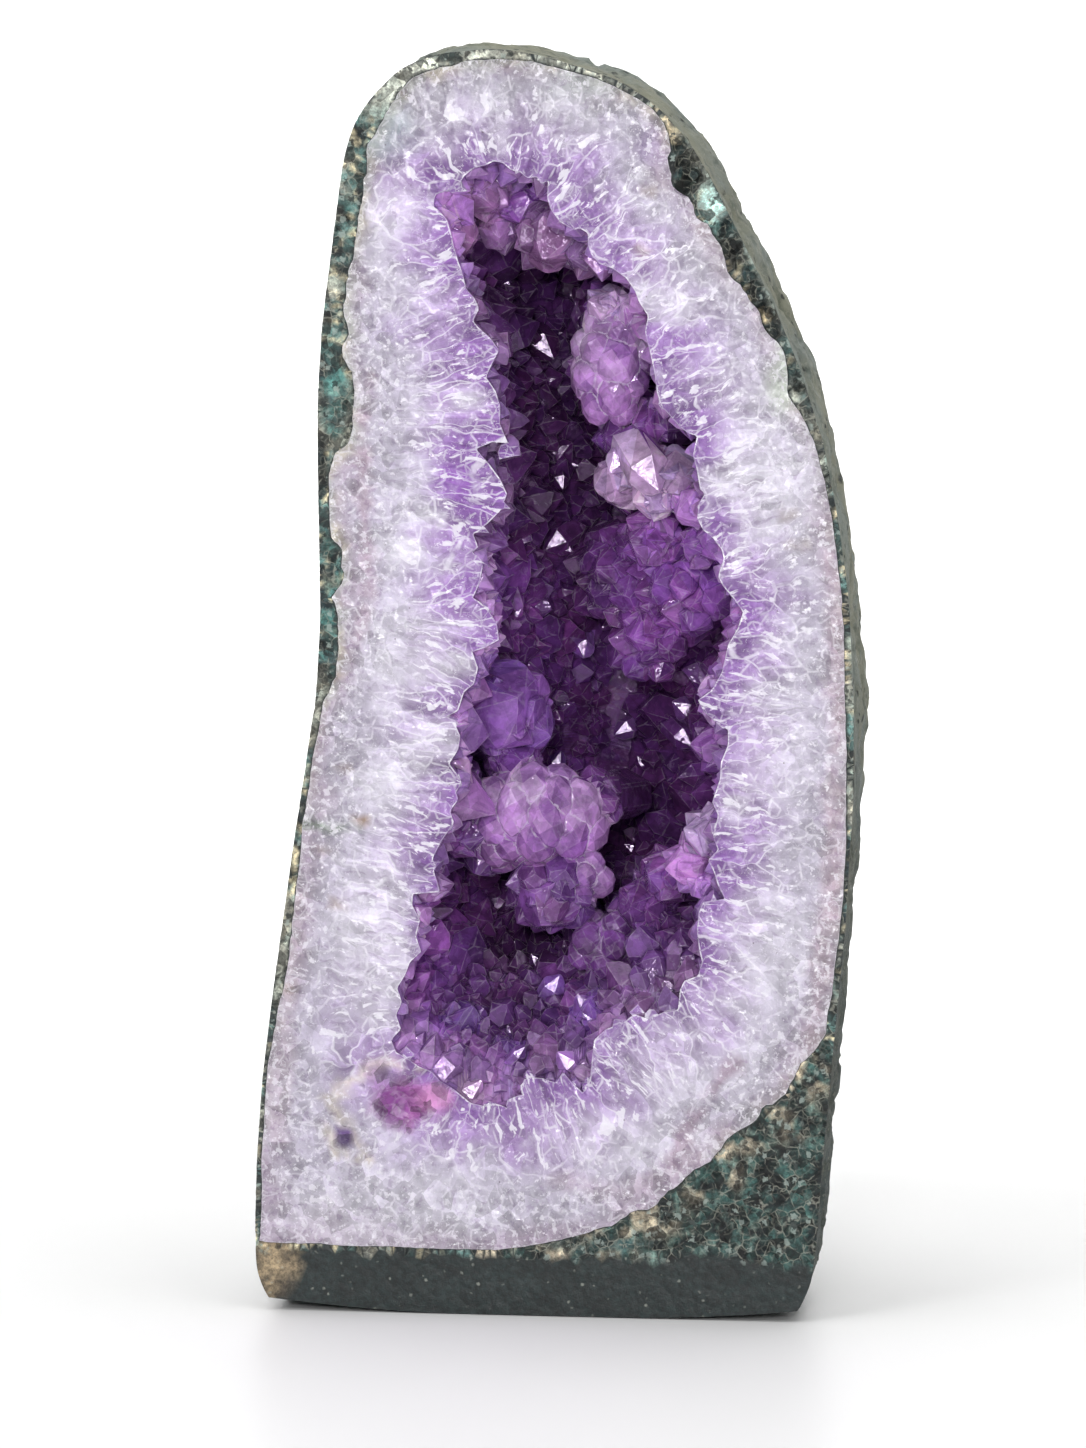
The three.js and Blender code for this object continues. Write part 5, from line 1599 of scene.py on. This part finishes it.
def finish_rock(o):
    triangulate(o)
    me = o.data
    V = get_verts(me)
    npoly = len(me.polygons)
    nor = np.empty(npoly * 3); me.polygons.foreach_get("normal", nor); nor = nor.reshape(-1, 3)
    cen = np.empty(npoly * 3); me.polygons.foreach_get("center", cen); cen = cen.reshape(-1, 3) * 1000
    cen[:, 0] -= SHIFT_X
    front = ((nor[:, 1] < -0.35) & (cen[:, 1] < FACE_Y + 3.2)) | ((nor[:, 2] < -0.5) & (cen[:, 2] < 3.6))
    q = V[:, [0, 2]]
    c = rock_tint(q, V[:, 1])
    corner_colours(me, "tint", c)
    edge_layers(me, 22, 40)
    zn = zones(q)
    g = np.where(zn["celadon"] | zn["rind"], 1.0, 0.0)
    g[V[:, 1] > FACE_Y + 4] = 0.0
    a = me.attributes.new("grain", "FLOAT", "POINT")
    a.data.foreach_set("value", g)
    me.materials.clear()
    me.materials.append(sawn_rock())
    me.materials.append(rough_rock())
    me.polygons.foreach_set("material_index", np.where(front, 0, 1).astype(np.int32))
    smooth = ~front & (cen[:, 2] > 1)
    me.polygons.foreach_set("use_smooth", smooth)
    me.update()


finish_lining(lining)
finish_rock(rock)
lining.name = "crystal_lining_grown"
rock.name = "host_rock_shell"
for piece, node, slot in ((lining, "crystal_lining", "amethyst"), (rock, "host_rock", "rock")):
    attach(piece, "root")
    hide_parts(node)


# ------------------------------------------------------------------ floor, light, camera
def floor():
    """Flat floor that curves up into a wall: near and tall behind the stone, far and low on the other sides."""
    X, Y0, Y1, corner, R = 4.2, -4.6, 1.6, 1.5, 1.2
    n = 24
    loop, nor = [], []
    for cx, cy, a0 in ((X - corner, Y1 - corner, 0), (-X + corner, Y1 - corner, 90), (-X + corner, Y0 + corner, 180), (X - corner, Y0 + corner, 270)):
        for k in range(n + 1):
            a = math.radians(a0 + 90 * k / n)
            loop.append((cx + corner * math.cos(a), cy + corner * math.sin(a)))
            nor.append((math.cos(a), math.sin(a)))
    loop, nor = np.array(loop), np.array(nor)
    m = len(loop)
    rings = [np.column_stack([loop, np.zeros(m)])]
    for k in range(1, 17):
        a = k / 16 * math.pi / 2
        rings.append(np.column_stack([loop + nor * R * math.sin(a), np.full(m, R * (1 - math.cos(a)))]))
    rings.append(np.column_stack([loop + nor * R, 1.5 + 2.7 * step_(-0.5, 1.6, loop[:, 1])]))
    v = np.vstack(rings)
    v[:, 2] -= 0.0002
    f = [tuple(range(m))]
    for k in range(len(rings) - 1):
        for i in range(m):
            j = (i + 1) % m
            f.append((k * m + i, k * m + j, (k + 1) * m + j, (k + 1) * m + i))
    me = bpy.data.meshes.new("floor")
    me.from_pydata(v.tolist(), [], f)
    for p in me.polygons:
        p.use_smooth = p.index > 0
    o = bpy.data.objects.new("floor", me)
    bpy.context.scene.collection.objects.link(o)
    m = Mat("floor_white")
    m.set(Base_Color=(0.95, 0.95, 0.95, 1), Roughness=0.4, Specular_IOR_Level=0.1)
    o.data.materials.append(m.m)


def area(name, loc, target, size, power, colour=(1, 1, 1)):
    l = bpy.data.lights.new(name, "AREA")
    l.shape = "RECTANGLE"
    l.size, l.size_y = size
    l.energy = power
    l.color = colour
    o = bpy.data.objects.new(name, l)
    o.location = loc
    o.rotation_mode = "QUATERNION"
    o.rotation_quaternion = (Vector(target) - Vector(loc)).to_track_quat("-Z", "Y")
    bpy.context.scene.collection.objects.link(o)
    return o


floor()
area("key", (-0.80, -1.20, 0.95), (0, 0, 0.15), (0.4, 0.4), 5.2)
area("fill", (0.95, -1.15, 0.45), (0, 0, 0.15), (0.5, 0.8), 2.0)
area("top", (0.0, 0.02, 1.7), (0, 0.02, 0.0), (1.6, 1.3), 17)
area("front", (0.09, -1.75, 0.52), (0, 0, 0.15), (0.26, 0.26), 8.6)
area("backdrop", (0, 0.7, 1.3), (0, 2.6, 0.5), (2.4, 0.6), 60)

world = bpy.data.worlds.new("studio")
bpy.context.scene.world = world
world.use_nodes = True
world.node_tree.nodes["Background"].inputs["Color"].default_value = (1, 1, 1, 1)
world.node_tree.nodes["Background"].inputs["Strength"].default_value = 0.29

cam_data = bpy.data.cameras.new("camera")
cam = bpy.data.objects.new("camera", cam_data)
bpy.context.scene.collection.objects.link(cam)
cam_data.sensor_fit = "AUTO"
cam_data.sensor_width = 36.0
cam_data.lens = 36.0 * DIST / (H * MM)
cam_data.clip_start, cam_data.clip_end = 0.05, 50
cam.location = ((CAM[0] + SHIFT_X) * 0.001, CAM[1] * 0.001, CAM[2] * 0.001)
cam.rotation_mode = "QUATERNION"
cam.rotation_quaternion = Vector(-BACK).to_track_quat("-Z", "Y")
bpy.context.scene.camera = cam

sc = bpy.context.scene
sc.view_settings.view_transform = "Standard"
sc.view_settings.exposure = 0.0
sc.cycles.use_denoising = True
sc.cycles.max_bounces = 5
sc.cycles.transmission_bounces = 3
sc.cycles.glossy_bounces = 2
sc.cycles.diffuse_bounces = 2
sc.cycles.caustics_reflective = False
sc.cycles.caustics_refractive = False
